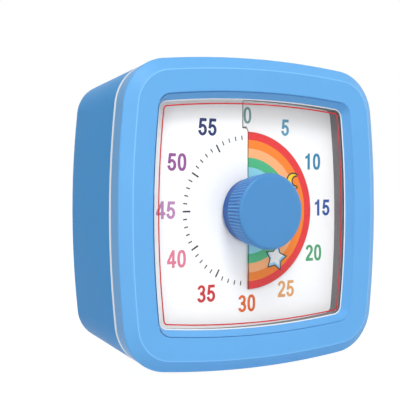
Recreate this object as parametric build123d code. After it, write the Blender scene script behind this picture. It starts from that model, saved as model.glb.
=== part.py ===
from build123d import *
from math import acos, atan2, cos, degrees, hypot, pi, radians, sin, sqrt, tan
import os

# Visual countdown timer: a rounded square desk clock case with a 60 minute dial. A coloured
# disc is slit along one radius, as the dial is, and turns through the dial's slit, so the
# part of it that shows in front of the dial is the time that is left.
#
# All sizes are millimetres. While a piece is made, +X is right, +Z is up, Y counts depths
# back from the front edge of the bezel, and the dial's axis is the Y axis. Pieces are moved
# to the finished frame, with the origin under the middle of the timer, when they are written.
# Angles on the dial are degrees clockwise from 12 o'clock, seen from the front.

# ---------------------------------------------------------------- driving dimensions

# Outline of the case. Every outline is this rounded square with bowed sides, set in.
case_width = 90.9            # across the middle of the sides
side_bow = 282.0             # radius of the bowed sides
case_corner = 14.1           # corner radius
case_drop = 0.8              # how far the middle of the case lies below the dial's axis
case_depth = 45.0            # from the bezel's front edge to the back
wall = 2.0                   # casing and bezel walls
fit_gap = 0.1                # clearance each side between pieces that slot together
move_gap = 0.3               # clearance round pieces that move

# Front bezel
bezel_depth = 8.2            # front edge to the trim ring
bevel_inset = 3.4            # bevel along the outer front edge
bevel_depth = 2.35
bevel_round = 0.6            # its two edges
bezel_back_inset = 0.75      # draft of the bezel's sides, behind the bevel
face_dish = 0.4              # how far the front face falls towards the window
window_lip_inset = 9.95       # window edge at the front face
window_inset = 11.15         # window edge at the lens
window_depth = 3.1           # front edge to the lens
lip_round = 0.45             # edge between front face and window wall
tongue_inset = 2.4           # outer face of the tongue that enters the rear casing
tongue_wall = 1.2
tongue_length = 3.5
collar_wall = 1.2            # collar round the lens, frame and dial

# Trim ring between bezel and rear casing
trim_width = 1.2
trim_inset = 0.8

# Rear casing
casing_front_inset = 0.8
casing_back_inset = 4.55
casing_back_round = 3.0
well_side_inset = 12.0       # casing screws, from the case's sides
well_height = 31.4           # and above and below the dial's axis
well_radius = 3.2
well_wall = 0.9
well_floor = 3.0

# Lens, white frame and dial
panel_inset = 9.65
lens_thickness = 1.2
lens_bore = 9.4
frame_front_inset = 11.2
frame_back_inset = 12.15
frame_seat_gap = 0.05
dial_depth = 8.2             # dial face at 0 minutes
ramp = 1.4                   # how far dial and disc come forward in one turn clockwise
dial_sheet = 0.4
dial_bore = 5.0
disc_radius = 23.55
disc_room_gap = 0.65         # round the disc, in the space behind the dial
slit_width = 0.4
slit_offset = 1.65           # how far left of 12 o'clock the slit leaves the dial's top edge
slit_jog_gap = 1.2           # from the disc's rim up to where the slit steps to 12 o'clock
slit_jog_round = 1.2
slit_underlap = 0.3          # right lip of the slit passes this far behind the left lip

# Disc
disc_sheet = 0.35
disc_start = 30              # minutes that show at rest
hub_radius = 4.5
hub_length = 2.4

# Arbor and knob
arbor_radius = 2.0
arbor_flat = 1.6             # half the width across the arbor's two flats
arbor_tail_radius = 1.5
press_gap = 0.02             # arbor pressed into the knob and cam
run_gap = 0.05               # shafts that turn in holes
knob_height = 4.3            # how far the knob stands in front of the bezel
knob_radius = 11.3
knob_rear_radius = 10.1
knob_edge_round = 1.0
knob_face_wall = 2.0
knob_neck_radius = 8.9
knob_neck_wall = 1.4
knob_boss_radius = 3.6
knob_lens_gap = 0.5          # from the knob's drum to the lens
knob_ribs = 66
knob_groove_width = 0.5
knob_groove_depth = 0.35
collar_radius = 3.4          # the arbor's collar behind the movement's front plate
collar_thickness = 0.6
clutch_thickness = 0.6       # the dished washer, pressed
clutch_rim = 1.0             # how far it stands out past the collar
clutch_sheet = 0.25
clip_thickness = 0.6
clip_rim = 0.3               # how far the clip stays inside the collar

# Dial carrier
carrier_thickness = 1.8
carrier_inset = 3.7
carrier_bore = 5.3
carrier_boss_radius = 2.8
carrier_boss_length = 4.6
bezel_boss_inset = 5.9       # from the case's sides
bezel_boss_z = 13.0
bezel_boss_radius = 2.6

# Movement case
movement_half_width = 26.0
movement_bottom = -17.5
movement_top = 30.0
movement_plate = 1.2
movement_room = 11.8         # between its two plates
post_radius = 2.2
post_inset = 3.6             # from the movement's outer faces to a post's axis
locating_lip = 0.8

# Gear train: numbers of teeth, and modules of the three sizes of tooth
rotor_teeth = 6
first_teeth = 60
pinion_teeth = 8
second_teeth = 40
third_teeth = 48
output_teeth = 48
fine_module = 0.25
middle_module = 0.35
coarse_module = 0.4
tooth_height = 0.8           # addendum in modules
tooth_foot = 1.05            # dedendum in modules
pinion_shift = 0.4           # profile shift of pinions; wheels have its opposite
pressure_angle = radians(20)
gear_play = 0.05             # backlash of each tooth
pivot_radius = 0.5
wheel_thickness = 1.0
output_thickness = 1.2
output_hole_radius = 1.9     # lightening holes of the output wheel
output_hole_place = 6.2
rotor_hub_radius = 1.2
layer_gap = 0.2              # between one wheel's layer and the next
third_bearing = 60.0         # directions from each axle to the next, from +X towards +Z
second_bearing = 150.0
first_bearing = 170.0
rotor_bearing = 60.0
magnet_radius = 2.6
magnet_length = 2.6

# Motor
stator_standoff = 2.6        # from the movement's front plate
stator_sheet = 0.8
stator_left = 5.5            # reach left of and below the rotor's axle
stator_below = 4.4
stator_right = 1.1           # past the coil
stator_top_gap = 0.4         # below the movement's top wall
stator_window = 1.4          # round the coil's core
stator_hole = 3.1
coil_left = 1.5
coil_length = 17.0
coil_top_gap = 0.5           # below the movement's top wall
coil_flange_radius = 3.9
coil_flange = 0.8
winding_radius = 3.4
core_width = 3.0
core_thickness = 1.0
core_left_reach = 4.2        # past the bobbin's ends
core_right_reach = 1.0
bobbin_wall = 0.7

# Alarm contacts
cam_radius = 4.2
cam_lobe = 0.4
cam_thickness = 1.6
leaf_thickness = 0.3
leaf_width = 2.0
leaf_length = 14.0
leaf_gap = 0.15
leaf_top = 2.0
foot_length = 2.5            # feet of the leaf and the fixed contact
leaf_foot_height = 1.5
contact_gap = 0.6            # from the leaf to the fixed contact

# Battery and its bay: one AA cell lying along X
cell_radius = 7.1
cell_length = 50.5
cell_nub_radius = 2.7
cell_nub_length = 1.4
cell_height = -28.0          # cell's axis below the dial's axis
bay_clearance = 0.65
bay_contact_room = 4.5       # along the cell, for its two contacts
cell_floor_gap = 0.2
cell_round = 0.5
bay_wall = 1.4
bay_depth = 16.8             # from the cover's inner face to the bay's floor
cover_thickness = 1.6
cover_margin = 1.5           # how far the cover overlaps the bay's edge
cover_gap = 0.15
cover_rim_depth = 1.5
cover_rim_wall = 1.0
cover_corner = 2.0
cover_grooves = 4            # finger grip
cover_groove = (16.0, 0.7)
cover_groove_pitch = 1.6
cover_groove_low = 4.0       # lowest groove below the cell's axis
cover_groove_depth = 0.5
cover_notch = (10.0, 3.0)
cover_notch_depth = 1.0
contact_sheet = 0.4
contact_size = 10.0
tab_width = 3.0              # soldering tabs of the contacts
tab_height = 4.5             # above the cell's axis
tab_length = 2.2             # in front of the bay's floor
spring_wire = 0.35           # radius
spring_turns = 3
spring_corners = 8           # bends of the spring's wire in each turn
spring_radius = 3.6
spring_length = 3.4          # pressed
spring_taper = 10.0          # degrees

# Circuit board, switch and sounder, all on the inside of the back
board_thickness = 1.6
board_standoff = 4.0
board_side_inset = 14.3      # from the case's side
board_right = -3.0
board_bottom = 0.0
board_top = 26.0
board_boss_radius = 2.2
board_boss_inset = 3.0
board_screw_length = 5.0
chip_x = 17.0                # places on the board, from its left and bottom edges
chip_z = 10.0
chip_size = (4.0, 1.4, 5.0)
pin_pitch = 1.27
crystal_x = 8.0
crystal_z = 6.0
crystal_size = (6.0, 1.0)    # length and radius
capacitor_x = 8.0
capacitor_z = 14.0
capacitor_radius = 2.5
capacitor_share = 0.6        # its length, as a share of the room behind the movement
switch_x = -17.0
switch_z = 18.0
switch_travel = 4.0
switch_body = (9.0, 3.7, 3.6)
switch_recess = (10.0, 5.0, 1.0)
switch_mouth = 1.6           # depth of the slot in the switch's body
button_waist = 0.3           # how much narrower the button's stem is than its cap
button_below = 0.2           # cap's face below the casing's back
button_groove = 0.3
button_length = 3.0
button_width = 2.4
sounder_x = 15.0
sounder_z = 12.0
sounder_radius = 11.5
sounder_wall = 1.3
sounder_depth = 4.8
piezo_seat = 2.4             # from the sounder's front to its disc
sounder_front_wall = 1.0
sounder_shelf = 1.5
sounder_hole_radius = 1.0
piezo_thickness = 0.4
grille_slots = 5
grille_pitch = 2.6
grille_width = 1.2
wire_radius = 0.55
pad_stand_share = 0.43       # last straight run of a wire, as a share of the room behind the movement

# Screws and feet
screw_radius = 1.0
screw_head_radius = 1.9
screw_head = 1.3
casing_screw_radius = 1.2
casing_screw_head_radius = 2.1
screw_tip_gap = 0.5          # from a screw's tip to what lies in front of it
slot_depth_share = 0.6       # depth of the cross in a screw's head
carrier_screw_length = 6.5
foot_radius = 3.5
foot_x = 20.0
foot_front_depth = 17.0
foot_back_depth = 37.0
foot_reach = 0.6             # how far the feet stand below the case
foot_sink = 0.3              # least depth of their pockets
foot_chamfer = 0.4

# ---------------------------------------------------------------- places that follow

half = case_width / 2
underside = -half - case_drop
board_left = board_side_inset - half
well_x = half - well_side_inset
bezel_boss_x = half - bezel_boss_inset
disc_room = disc_radius + disc_room_gap
slit_jog_height = disc_radius + slit_jog_gap
casing_front = bezel_depth + trim_width
casing_inner_back = case_depth - wall
lens_back = window_depth + lens_thickness
carrier_front = dial_depth + ramp
carrier_back = carrier_front + carrier_thickness

# The disc lies halfway between the forward and the rear lip of the dial's slit.
disc_lead = (ramp - dial_sheet + disc_sheet) / 2
disc_gap = (ramp - dial_sheet - disc_sheet) / 2
disc_rest_shift = ramp * disc_start / 60
disc_foremost = dial_depth - disc_lead - ramp
hub_middle = dial_depth - disc_lead + disc_sheet / 2
hub_front = hub_middle - ramp / 2 + (ramp / 2 - disc_rest_shift) - (hub_length - ramp) / 2

movement_front = carrier_back
movement_inner_front = movement_front + movement_plate
movement_inner_back = movement_inner_front + movement_room
movement_back = movement_inner_back + movement_plate
post_x = movement_half_width - post_inset
post_low = movement_bottom + post_inset
post_high = movement_top - post_inset

knob_front = -knob_height
knob_rear = window_depth - knob_lens_gap
knob_neck_end = disc_foremost - disc_gap
arbor_front = knob_front + knob_face_wall
collar_front = movement_inner_front + layer_gap
clutch_front = collar_front + collar_thickness
output_front = clutch_front + clutch_thickness + fit_gap
clip_front = output_front + output_thickness + run_gap
third_front = clip_front + clip_thickness + 2 * layer_gap
second_front = third_front + wheel_thickness + 3 * layer_gap
first_front = second_front + wheel_thickness + 5 * layer_gap
stator_front = movement_inner_front + stator_standoff
stator_back = stator_front + stator_sheet
coil_axis = stator_back + coil_flange_radius + fit_gap
coil_height = movement_top - movement_plate - coil_top_gap - coil_flange_radius
cam_front = first_front + wheel_thickness + 2 * layer_gap

cover_front = case_depth - cover_thickness
bay_floor = cover_front - bay_depth
bay_half_length = (cell_length + bay_contact_room) / 2
bay_half_height = cell_radius + bay_clearance
cell_depth = bay_floor + cell_radius + cell_floor_gap
cell_left = -bay_half_length + contact_sheet + spring_length

board_back = casing_inner_back - board_standoff
board_front = board_back - board_thickness
board_room = board_front - movement_back
pad_stand = pad_stand_share * board_room


# ---------------------------------------------------------------- helpers

def plane_at(depth):
    """Drawing plane across the timer: its x is right and its y is up."""
    return Plane(origin=(0, depth, 0), x_dir=(1, 0, 0), z_dir=(0, -1, 0))


def prism(shape, front, back):
    """A flat shape drawn in x and z, made solid from one depth to another."""
    return extrude(plane_at(back) * shape, back - front, dir=(0, -1, 0))


def rod(x, z, radius, front, back):
    """A round bar along the timer's depth."""
    return prism(Pos(x, z) * Circle(radius), front, back)


def block(left, right, front, back, bottom, top):
    """A box given by its six faces."""
    middle = Pos((left + right) / 2, (front + back) / 2, (bottom + top) / 2)
    return middle * Box(right - left, back - front, top - bottom)


def outline(inset):
    """The case's rounded square with bowed sides, set in by a distance."""
    bow = side_bow - inset
    corner = case_corner - inset
    side_centre = half - side_bow
    corner_centre = (side_centre + sqrt(2 * (side_bow - case_corner) ** 2 - side_centre ** 2)) / 2
    side_angle = degrees(atan2(corner_centre, corner_centre - side_centre))
    quarter = [
        CenterArc((side_centre, 0), bow, -side_angle, 2 * side_angle),
        CenterArc((corner_centre, corner_centre), corner, side_angle, 90 - 2 * side_angle),
    ]
    edges = [Rot(0, 0, 90 * turn) * edge for turn in range(4) for edge in quarter]
    return Pos(0, -case_drop) * make_face(Wire(edges))


def ring(outer_inset, inner_inset, front, back):
    """A wall that follows the outline."""
    return prism(outline(outer_inset), front, back) - prism(outline(inner_inset), front, back)


def tapered(front_inset, back_inset, front, back):
    """A solid of the outline whose inset changes evenly with depth."""
    sections = [plane_at(front) * outline(front_inset), plane_at(back) * outline(back_inset)]
    return loft(sections, ruled=True)


def corners(x, z):
    """The four places at equal distances left, right, above and below the axis."""
    return [(sx * x, sz * z) for sx in (-1, 1) for sz in (-1, 1)]


def screw(x, z, seat, length, radius, head_radius, head=screw_head, points=-1):
    """A cross-head screw, whose head sits on a face; points=-1 drives it to the front."""
    def along(first, last):
        return sorted((seat + points * first, seat + points * last))
    shank = rod(x, z, radius, *along(0, length))
    cap = rod(x, z, head_radius, *along(-head, 0))
    slot = head_radius * 1.1
    cross = Pos(x, z) * (Rectangle(slot, slot / 4) + Rectangle(slot / 4, slot))
    return shank + cap - prism(cross, *along(-head, head * (slot_depth_share - 1)))


def ramp_sheet(inner, outer, start, end, front, thickness):
    """A spiral ramp round the axis. Its front face is at a depth at 12 o'clock."""
    turns = (end - start) / 360
    axis = Plane(origin=(0, front - ramp * start / 360, 0), x_dir=(0, 0, 1), z_dir=(0, -1, 0))
    rails = [Edge.make_helix(ramp, ramp * turns, radius, lefthand=True) for radius in (inner, outer)]
    sheet = extrude(Face.make_surface_from_curves(*rails), thickness, dir=(0, 0, -1))
    return Rot(0, start, 0) * (axis.location * sheet)


def involute(angle):
    return tan(angle) - angle


def gear(module, teeth, shift, tooth_at, front, back, x=0.0, z=0.0):
    """A spur gear with involute teeth, one of them centred on the direction tooth_at."""
    pitch_radius = module * teeth / 2
    base_radius = pitch_radius * cos(pressure_angle)
    tip_radius = pitch_radius + module * (tooth_height + shift)
    root_radius = pitch_radius - module * (tooth_foot - shift)
    half_tooth = (pi / 2 + 2 * shift * tan(pressure_angle)) / teeth - gear_play / 2 / pitch_radius

    def flank(radius):
        """Half the tooth's angle at a radius."""
        at = acos(min(1.0, base_radius / radius))
        return half_tooth + involute(pressure_angle) - involute(at)

    start_radius = max(base_radius, root_radius)
    radii = [root_radius] if root_radius < base_radius else []
    radii += [start_radius + (tip_radius - start_radius) * step / 3 for step in range(4)]
    points = []
    for tooth in range(teeth):
        centre = radians(tooth_at) + 2 * pi * tooth / teeth
        rising = [(radius, centre - flank(max(radius, base_radius))) for radius in radii]
        falling = [(radius, centre + flank(max(radius, base_radius))) for radius in reversed(radii)]
        points += [(radius * cos(at), radius * sin(at)) for radius, at in rising + falling]
    shape = make_face(Polyline(*points, close=True))
    return prism(Pos(x, z) * shape, front, back)


def step_along(place, bearing, distance):
    """The next axle: a place, a direction and a distance away."""
    return (place[0] + distance * cos(radians(bearing)), place[1] + distance * sin(radians(bearing)))


def centre_distance(module, driver, driven):
    return module * (driver + driven) / 2


# Places of the axles, seen from the front
third_axle = step_along((0, 0), third_bearing, centre_distance(coarse_module, pinion_teeth, output_teeth))
second_axle = step_along(third_axle, second_bearing,
                         centre_distance(middle_module, pinion_teeth, third_teeth))
first_axle = step_along(second_axle, first_bearing,
                        centre_distance(middle_module, pinion_teeth, second_teeth))
rotor_axle = step_along(first_axle, rotor_bearing,
                        centre_distance(fine_module, rotor_teeth, first_teeth))
axles = [third_axle, second_axle, first_axle, rotor_axle]


# ---------------------------------------------------------------- front

def front_bezel():
    body = tapered(bevel_inset, 0, 0, bevel_depth)
    body += tapered(0, bezel_back_inset, bevel_depth, bezel_depth)
    body = fillet(body.edges().filter_by_position(Axis.Y, 0, bevel_depth), bevel_round)
    dish = tapered(bevel_inset + bevel_round / 2, window_lip_inset, 0, face_dish)
    funnel = tapered(window_lip_inset, window_inset, face_dish, window_depth + wall)
    body = body - dish - funnel - prism(outline(wall), window_depth, bezel_depth)
    lip = [edge for edge in body.edges().filter_by_position(Axis.Y, face_dish, face_dish)]
    body = fillet(lip, lip_round)
    collar_inset = panel_inset - fit_gap
    body += ring(collar_inset - collar_wall, collar_inset, window_depth, carrier_front - fit_gap)
    tongue_inner = tongue_inset + tongue_wall
    body += ring(wall - 0.1, tongue_inner, bezel_depth - wall, bezel_depth)
    body += ring(tongue_inset, tongue_inner, bezel_depth, bezel_depth + tongue_length)
    for x, z in corners(bezel_boss_x, bezel_boss_z):
        body += rod(x, z, bezel_boss_radius, window_depth, carrier_front)
    for x, z in corners(bezel_boss_x, bezel_boss_z):
        body -= rod(x, z, screw_radius + fit_gap / 2, window_depth + wall / 2, carrier_front)
    return body


def trim_ring():
    return ring(trim_inset, tongue_inset - fit_gap, bezel_depth, casing_front)


def lens():
    return prism(outline(panel_inset), window_depth, lens_back) - rod(0, 0, lens_bore, window_depth, lens_back)


def dial_sides(gap):
    """The dial's two sides of the slit, as flat shapes, with a gap between them."""
    reach = 2 * half
    left = Pos(-half, 0) * Rectangle(2 * half, reach)
    left -= Pos(-slit_offset / 2, slit_jog_height + half) * Rectangle(slit_offset + gap, 2 * half)
    right = Pos(half, 0) * Rectangle(2 * half, reach)
    if gap:
        right -= Pos(gap / 2, half) * Rectangle(gap, 2 * half)
    strip = Rectangle(slit_offset + gap / 2, 2 * half)
    right += Pos(gap * 3 / 4 - slit_offset / 2, slit_jog_height + gap + half) * strip
    return left, right


def dial_reach():
    """A radius past the dial's rounded corners."""
    return hypot(half - panel_inset, half - panel_inset)


def dial_plate():
    left, right = dial_sides(slit_width)
    tab = left.vertices().sort_by_distance(Vertex(0, slit_jog_height, 0))[0]
    left = fillet(tab, slit_jog_round)
    lip = Pos(slit_width / 2, half / 2) * Rectangle(slit_width + 2 * slit_underlap, half)
    right += (Circle(disc_room - slit_width) & lip) - Circle(dial_bore)
    panel = outline(panel_inset)
    plate = None
    for side, start, end in ((left, 180, 360), (right, -8, 180)):
        solid = ramp_sheet(dial_bore, dial_reach(), start, end, dial_depth, 3 * ramp)
        solid = solid & prism(side & panel, dial_depth - 2 * ramp, carrier_front)
        relief = ramp_sheet(dial_bore / 2, disc_room, start - 5, end + 5, dial_depth + dial_sheet, 3 * ramp)
        solid -= relief
        plate = solid if plate is None else plate.fuse(solid, tol=0.001)
    return plate


def inner_frame():
    body = prism(outline(panel_inset), lens_back, carrier_front)
    body -= tapered(frame_front_inset, frame_back_inset, lens_back, carrier_front)
    for side, start, end in zip(dial_sides(0), (180, -8), (360, 180)):
        cut = ramp_sheet(dial_bore, dial_reach(), start, end, dial_depth - frame_seat_gap, 3 * ramp)
        body -= cut & prism(side, dial_depth - 2 * ramp, carrier_front + ramp)
    return body


def disc_hub():
    body = rod(0, 0, hub_radius, hub_front, hub_front + hub_length)
    return body - arbor_hole(run_gap, hub_front, hub_front + hub_length)


def time_disc():
    turn = 360 * disc_start / 60
    return ramp_sheet(hub_radius + press_gap, disc_radius, turn - 360, turn, dial_depth - disc_lead, disc_sheet)


def arbor_hole(gap, front, back):
    """A hole for the arbor's flattened front part."""
    shape = Circle(arbor_radius + gap) & Rectangle(2 * (arbor_flat + gap), 4 * arbor_radius)
    return prism(shape, front, back)


def knob():
    edge = knob_radius - knob_edge_round
    taper = (knob_radius - knob_rear_radius) / (knob_rear - knob_front)
    shoulder = knob_front + knob_edge_round
    shoulder_radius = knob_radius - taper * knob_edge_round
    hollow_front = knob_front + knob_face_wall
    hollow_radius = knob_neck_radius - knob_neck_wall
    boss_end = hub_front - ramp / 2 - move_gap
    profile = [
        Line((0, knob_front), (edge, knob_front)),
        ThreePointArc((edge, knob_front),
                      (edge + 0.7 * (shoulder_radius - edge), knob_front + 0.3 * knob_edge_round),
                      (shoulder_radius, shoulder)),
        Polyline((shoulder_radius, shoulder), (knob_rear_radius, knob_rear),
                 (knob_neck_radius, knob_rear), (knob_neck_radius, knob_neck_end),
                 (hollow_radius, knob_neck_end), (hollow_radius, hollow_front),
                 (knob_boss_radius, hollow_front), (knob_boss_radius, boss_end),
                 (0, boss_end), (0, knob_front)),
    ]
    body = revolve(make_face(profile), Axis.Y)
    body -= arbor_hole(press_gap, arbor_front, boss_end)
    length = knob_rear - shoulder
    middle = (knob_rear + shoulder) / 2
    groove = Pos(0, middle, (knob_radius + knob_rear_radius) / 2 - taper * knob_edge_round / 2)
    groove *= Rot(-degrees(atan2(knob_radius - knob_rear_radius, knob_rear - knob_front)), 0, 0)
    groove *= Box(knob_groove_width, length * 1.1, 2 * knob_groove_depth)
    return body - [Rot(0, 360 * turn / knob_ribs, 0) * groove for turn in range(knob_ribs)]


# ---------------------------------------------------------------- carrier and movement

def dial_carrier():
    body = prism(outline(carrier_inset), carrier_front, carrier_back)
    body -= rod(0, 0, carrier_bore, carrier_front, carrier_back)
    for x, z in corners(bezel_boss_x, bezel_boss_z):
        body -= rod(x, z, screw_radius + fit_gap, carrier_front, carrier_back)
    boss_end = carrier_back + carrier_boss_length
    for x, z in corners(well_x, well_height):
        body += rod(x, z, carrier_boss_radius, carrier_back, boss_end)
    for x, z in corners(well_x, well_height):
        body -= rod(x, z, casing_screw_radius + run_gap, carrier_front, boss_end)
    for x, z in movement_posts():
        body -= rod(x, z, screw_radius + run_gap, carrier_front, carrier_back)
    return body


def movement_posts():
    return [(side * post_x, height) for side in (-1, 1) for height in (post_low, post_high)]


def movement_outline(inset):
    width = 2 * (movement_half_width - inset)
    height = movement_top - movement_bottom - 2 * inset
    return Pos(0, (movement_top + movement_bottom) / 2) * RectangleRounded(width, height, 3.0 - inset)


def movement_front_case():
    body = prism(movement_outline(0), movement_front, movement_inner_back)
    body -= prism(movement_outline(movement_plate), movement_inner_front, movement_inner_back)
    for x, z in movement_posts():
        body += rod(x, z, post_radius, movement_inner_front, movement_inner_back)
    for x, z in movement_posts():
        body -= rod(x, z, screw_radius + fit_gap, movement_front, movement_inner_back)
    body -= rod(0, 0, arbor_radius + run_gap, movement_front, movement_inner_front)
    for x, z in axles:
        body -= rod(x, z, pivot_radius + run_gap, movement_front, movement_inner_front)
    return body


def movement_rear_case():
    body = prism(movement_outline(0), movement_inner_back, movement_back)
    rim = movement_outline(movement_plate + fit_gap) - movement_outline(2 * movement_plate + fit_gap)
    for x, z in movement_posts():
        rim -= Pos(x, z) * Circle(post_radius + 2 * fit_gap)
    body += prism(rim, movement_inner_back - locating_lip, movement_inner_back)
    for x, z in movement_posts():
        body -= rod(x, z, screw_radius + fit_gap, movement_inner_back, movement_back)
    body -= rod(0, 0, arbor_tail_radius + run_gap, movement_inner_back, movement_back)
    for x, z in axles:
        body -= rod(x, z, pivot_radius + run_gap, movement_inner_back, movement_back)
    return body


def output_arbor():
    tail_front = clip_front + clip_thickness / 2
    body = rod(0, 0, arbor_radius, arbor_front, tail_front)
    flats = Rectangle(4 * arbor_radius, 4 * arbor_radius) - Rectangle(2 * arbor_flat, 4 * arbor_radius)
    body -= prism(flats, arbor_front, movement_front - move_gap)
    body += rod(0, 0, collar_radius, collar_front, collar_front + collar_thickness)
    return body + rod(0, 0, arbor_tail_radius, tail_front, movement_back)


def clutch_spring():
    """A dished washer that presses the output wheel against the clip."""
    outer = collar_radius + clutch_rim
    sheet = clutch_sheet
    bore = arbor_radius + run_gap
    profile = Polyline((bore, clutch_front), (outer, clutch_front + clutch_thickness - sheet),
                       (outer, clutch_front + clutch_thickness), (bore, clutch_front + sheet), close=True)
    return revolve(make_face(profile), Axis.Y)


def arbor_clip():
    """An open ring sprung on to the step at the back of the arbor."""
    shape = Circle(collar_radius - clip_rim) - Circle(arbor_radius + press_gap)
    shape -= Pos(0, -collar_radius) * Rectangle(arbor_radius, 2 * collar_radius)
    return prism(shape, clip_front, clip_front + clip_thickness)


def output_wheel():
    back = output_front + output_thickness
    body = gear(coarse_module, output_teeth, -pinion_shift, third_bearing + 180 / output_teeth, output_front, back)
    for turn in range(4):
        x, z = step_along((0, 0), 90 * turn + 15, output_hole_place)
        body -= rod(x, z, output_hole_radius, output_front, back)
    return body - rod(0, 0, arbor_radius + run_gap, output_front, back)


def train_wheel(axle, module, teeth, previous, front, pinion_module, pinion_front, pinion_back, bearing):
    """A wheel and the pinion moulded with it. Previous is the bearing of the pinion that drives it."""
    x, z = axle
    body = gear(module, teeth, -pinion_shift, previous + 180 / teeth, front, front + wheel_thickness, x, z)
    body += gear(pinion_module, pinion_teeth, pinion_shift, bearing, pinion_front, pinion_back, x, z)
    return body + rod(x, z, pivot_radius, movement_front + layer_gap, movement_back - layer_gap)


def third_wheel():
    return train_wheel(third_axle, middle_module, third_teeth, second_bearing, third_front,
                       coarse_module, output_front - layer_gap, third_front, third_bearing + 180)


def second_wheel():
    return train_wheel(second_axle, middle_module, second_teeth, first_bearing, second_front,
                       middle_module, third_front - layer_gap, second_front, second_bearing + 180)


def first_wheel():
    return train_wheel(first_axle, fine_module, first_teeth, rotor_bearing, first_front,
                       middle_module, second_front - layer_gap, first_front, first_bearing + 180)


def rotor_pinion():
    x, z = rotor_axle
    body = gear(fine_module, rotor_teeth, pinion_shift, rotor_bearing + 180,
                first_front - layer_gap, first_front + wheel_thickness + layer_gap, x, z)
    hub = magnet_front() + magnet_length
    body += rod(x, z, rotor_hub_radius, hub, first_front - layer_gap)
    return body + rod(x, z, pivot_radius, movement_front + layer_gap, movement_back - layer_gap)


def magnet_front():
    return (stator_front + stator_back - magnet_length) / 2


def rotor_magnet():
    x, z = rotor_axle
    front = magnet_front()
    body = rod(x, z, magnet_radius, front, front + magnet_length)
    return body - rod(x, z, pivot_radius + press_gap, front, front + magnet_length)


def stator():
    x, z = rotor_axle
    left, right = x - stator_left, coil_left + coil_length + stator_right
    bottom, top = z - stator_below, movement_top - movement_plate - stator_top_gap
    shape = Pos((left + right) / 2, (bottom + top) / 2) * RectangleRounded(right - left, top - bottom, 1.0)
    shape -= Pos(coil_left + coil_length / 2, coil_height) * Rectangle(coil_length - 3, core_width + stator_window)
    shape -= Pos(x, z) * Circle(stator_hole)
    return prism(shape, stator_front, stator_back)


def coil_core():
    left, right = coil_left - core_left_reach, coil_left + coil_length + core_right_reach
    bottom, top = coil_height - core_width / 2, coil_height + core_width / 2
    front, back = coil_axis - core_thickness / 2, coil_axis + core_thickness / 2
    body = block(left, right, front, back, bottom, top)
    body += block(left, left + core_thickness, stator_back, back, bottom, top)
    return body + block(right - core_thickness + 0.2, right, stator_back, back, bottom, top)


def along_x(x, radius, length):
    """A round bar along X on the coil's axis, from x to the right."""
    return Pos(x + length / 2, coil_axis, coil_height) * Rot(0, 90, 0) * Cylinder(radius, length)


def coil_bobbin():
    core_hole = block(coil_left - 1, coil_left + coil_length + 1,
                      coil_axis - core_thickness / 2 - fit_gap, coil_axis + core_thickness / 2 + fit_gap,
                      coil_height - core_width / 2 - fit_gap, coil_height + core_width / 2 + fit_gap)
    body = along_x(coil_left, core_width / 2 + bobbin_wall, coil_length - coil_flange)
    body += along_x(coil_left, coil_flange_radius, coil_flange)
    body += along_x(coil_left + coil_length - 2 * coil_flange, coil_flange_radius, coil_flange)
    return body - core_hole


def coil_winding():
    start = coil_left + coil_flange
    length = coil_length - 3 * coil_flange
    return along_x(start, winding_radius, length) - along_x(start, core_width / 2 + bobbin_wall, length)


def alarm_cam():
    """A cam whose lobe reaches the leaf when the dial is at 0 minutes."""
    lobe_turn = 90 + 360 * disc_start / 60
    x, z = step_along((0, 0), 90 - lobe_turn, cam_radius)
    shape = Circle(cam_radius) + Pos(x, z) * Circle(cam_lobe)
    back = cam_front + cam_thickness
    return prism(shape, cam_front, back) - rod(0, 0, arbor_tail_radius + press_gap, cam_front, back)


def leaf_place():
    return cam_radius + cam_lobe + leaf_gap


def alarm_leaf():
    """A springy strip beside the cam, held at its foot in the movement's rear case."""
    left = leaf_place()
    middle = cam_front + cam_thickness / 2
    strip = block(left, left + leaf_thickness, middle - leaf_width / 2, middle + leaf_width / 2,
                  -leaf_length, leaf_top)
    foot = block(left, left + foot_length, middle - leaf_width / 2, movement_inner_back,
                 -leaf_length, leaf_foot_height - leaf_length)
    return strip + foot


def alarm_contact():
    """The fixed contact that the leaf is pushed against."""
    left = leaf_place() + leaf_thickness + contact_gap
    middle = cam_front + cam_thickness / 2
    strip = block(left, left + leaf_thickness, middle - leaf_width / 2, middle + leaf_width / 2,
                  -leaf_top, leaf_top)
    return strip + block(left, left + foot_length, middle + leaf_width / 2 - leaf_thickness, movement_inner_back,
                         -leaf_top, 0)


# ---------------------------------------------------------------- rear casing and what it holds

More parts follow.
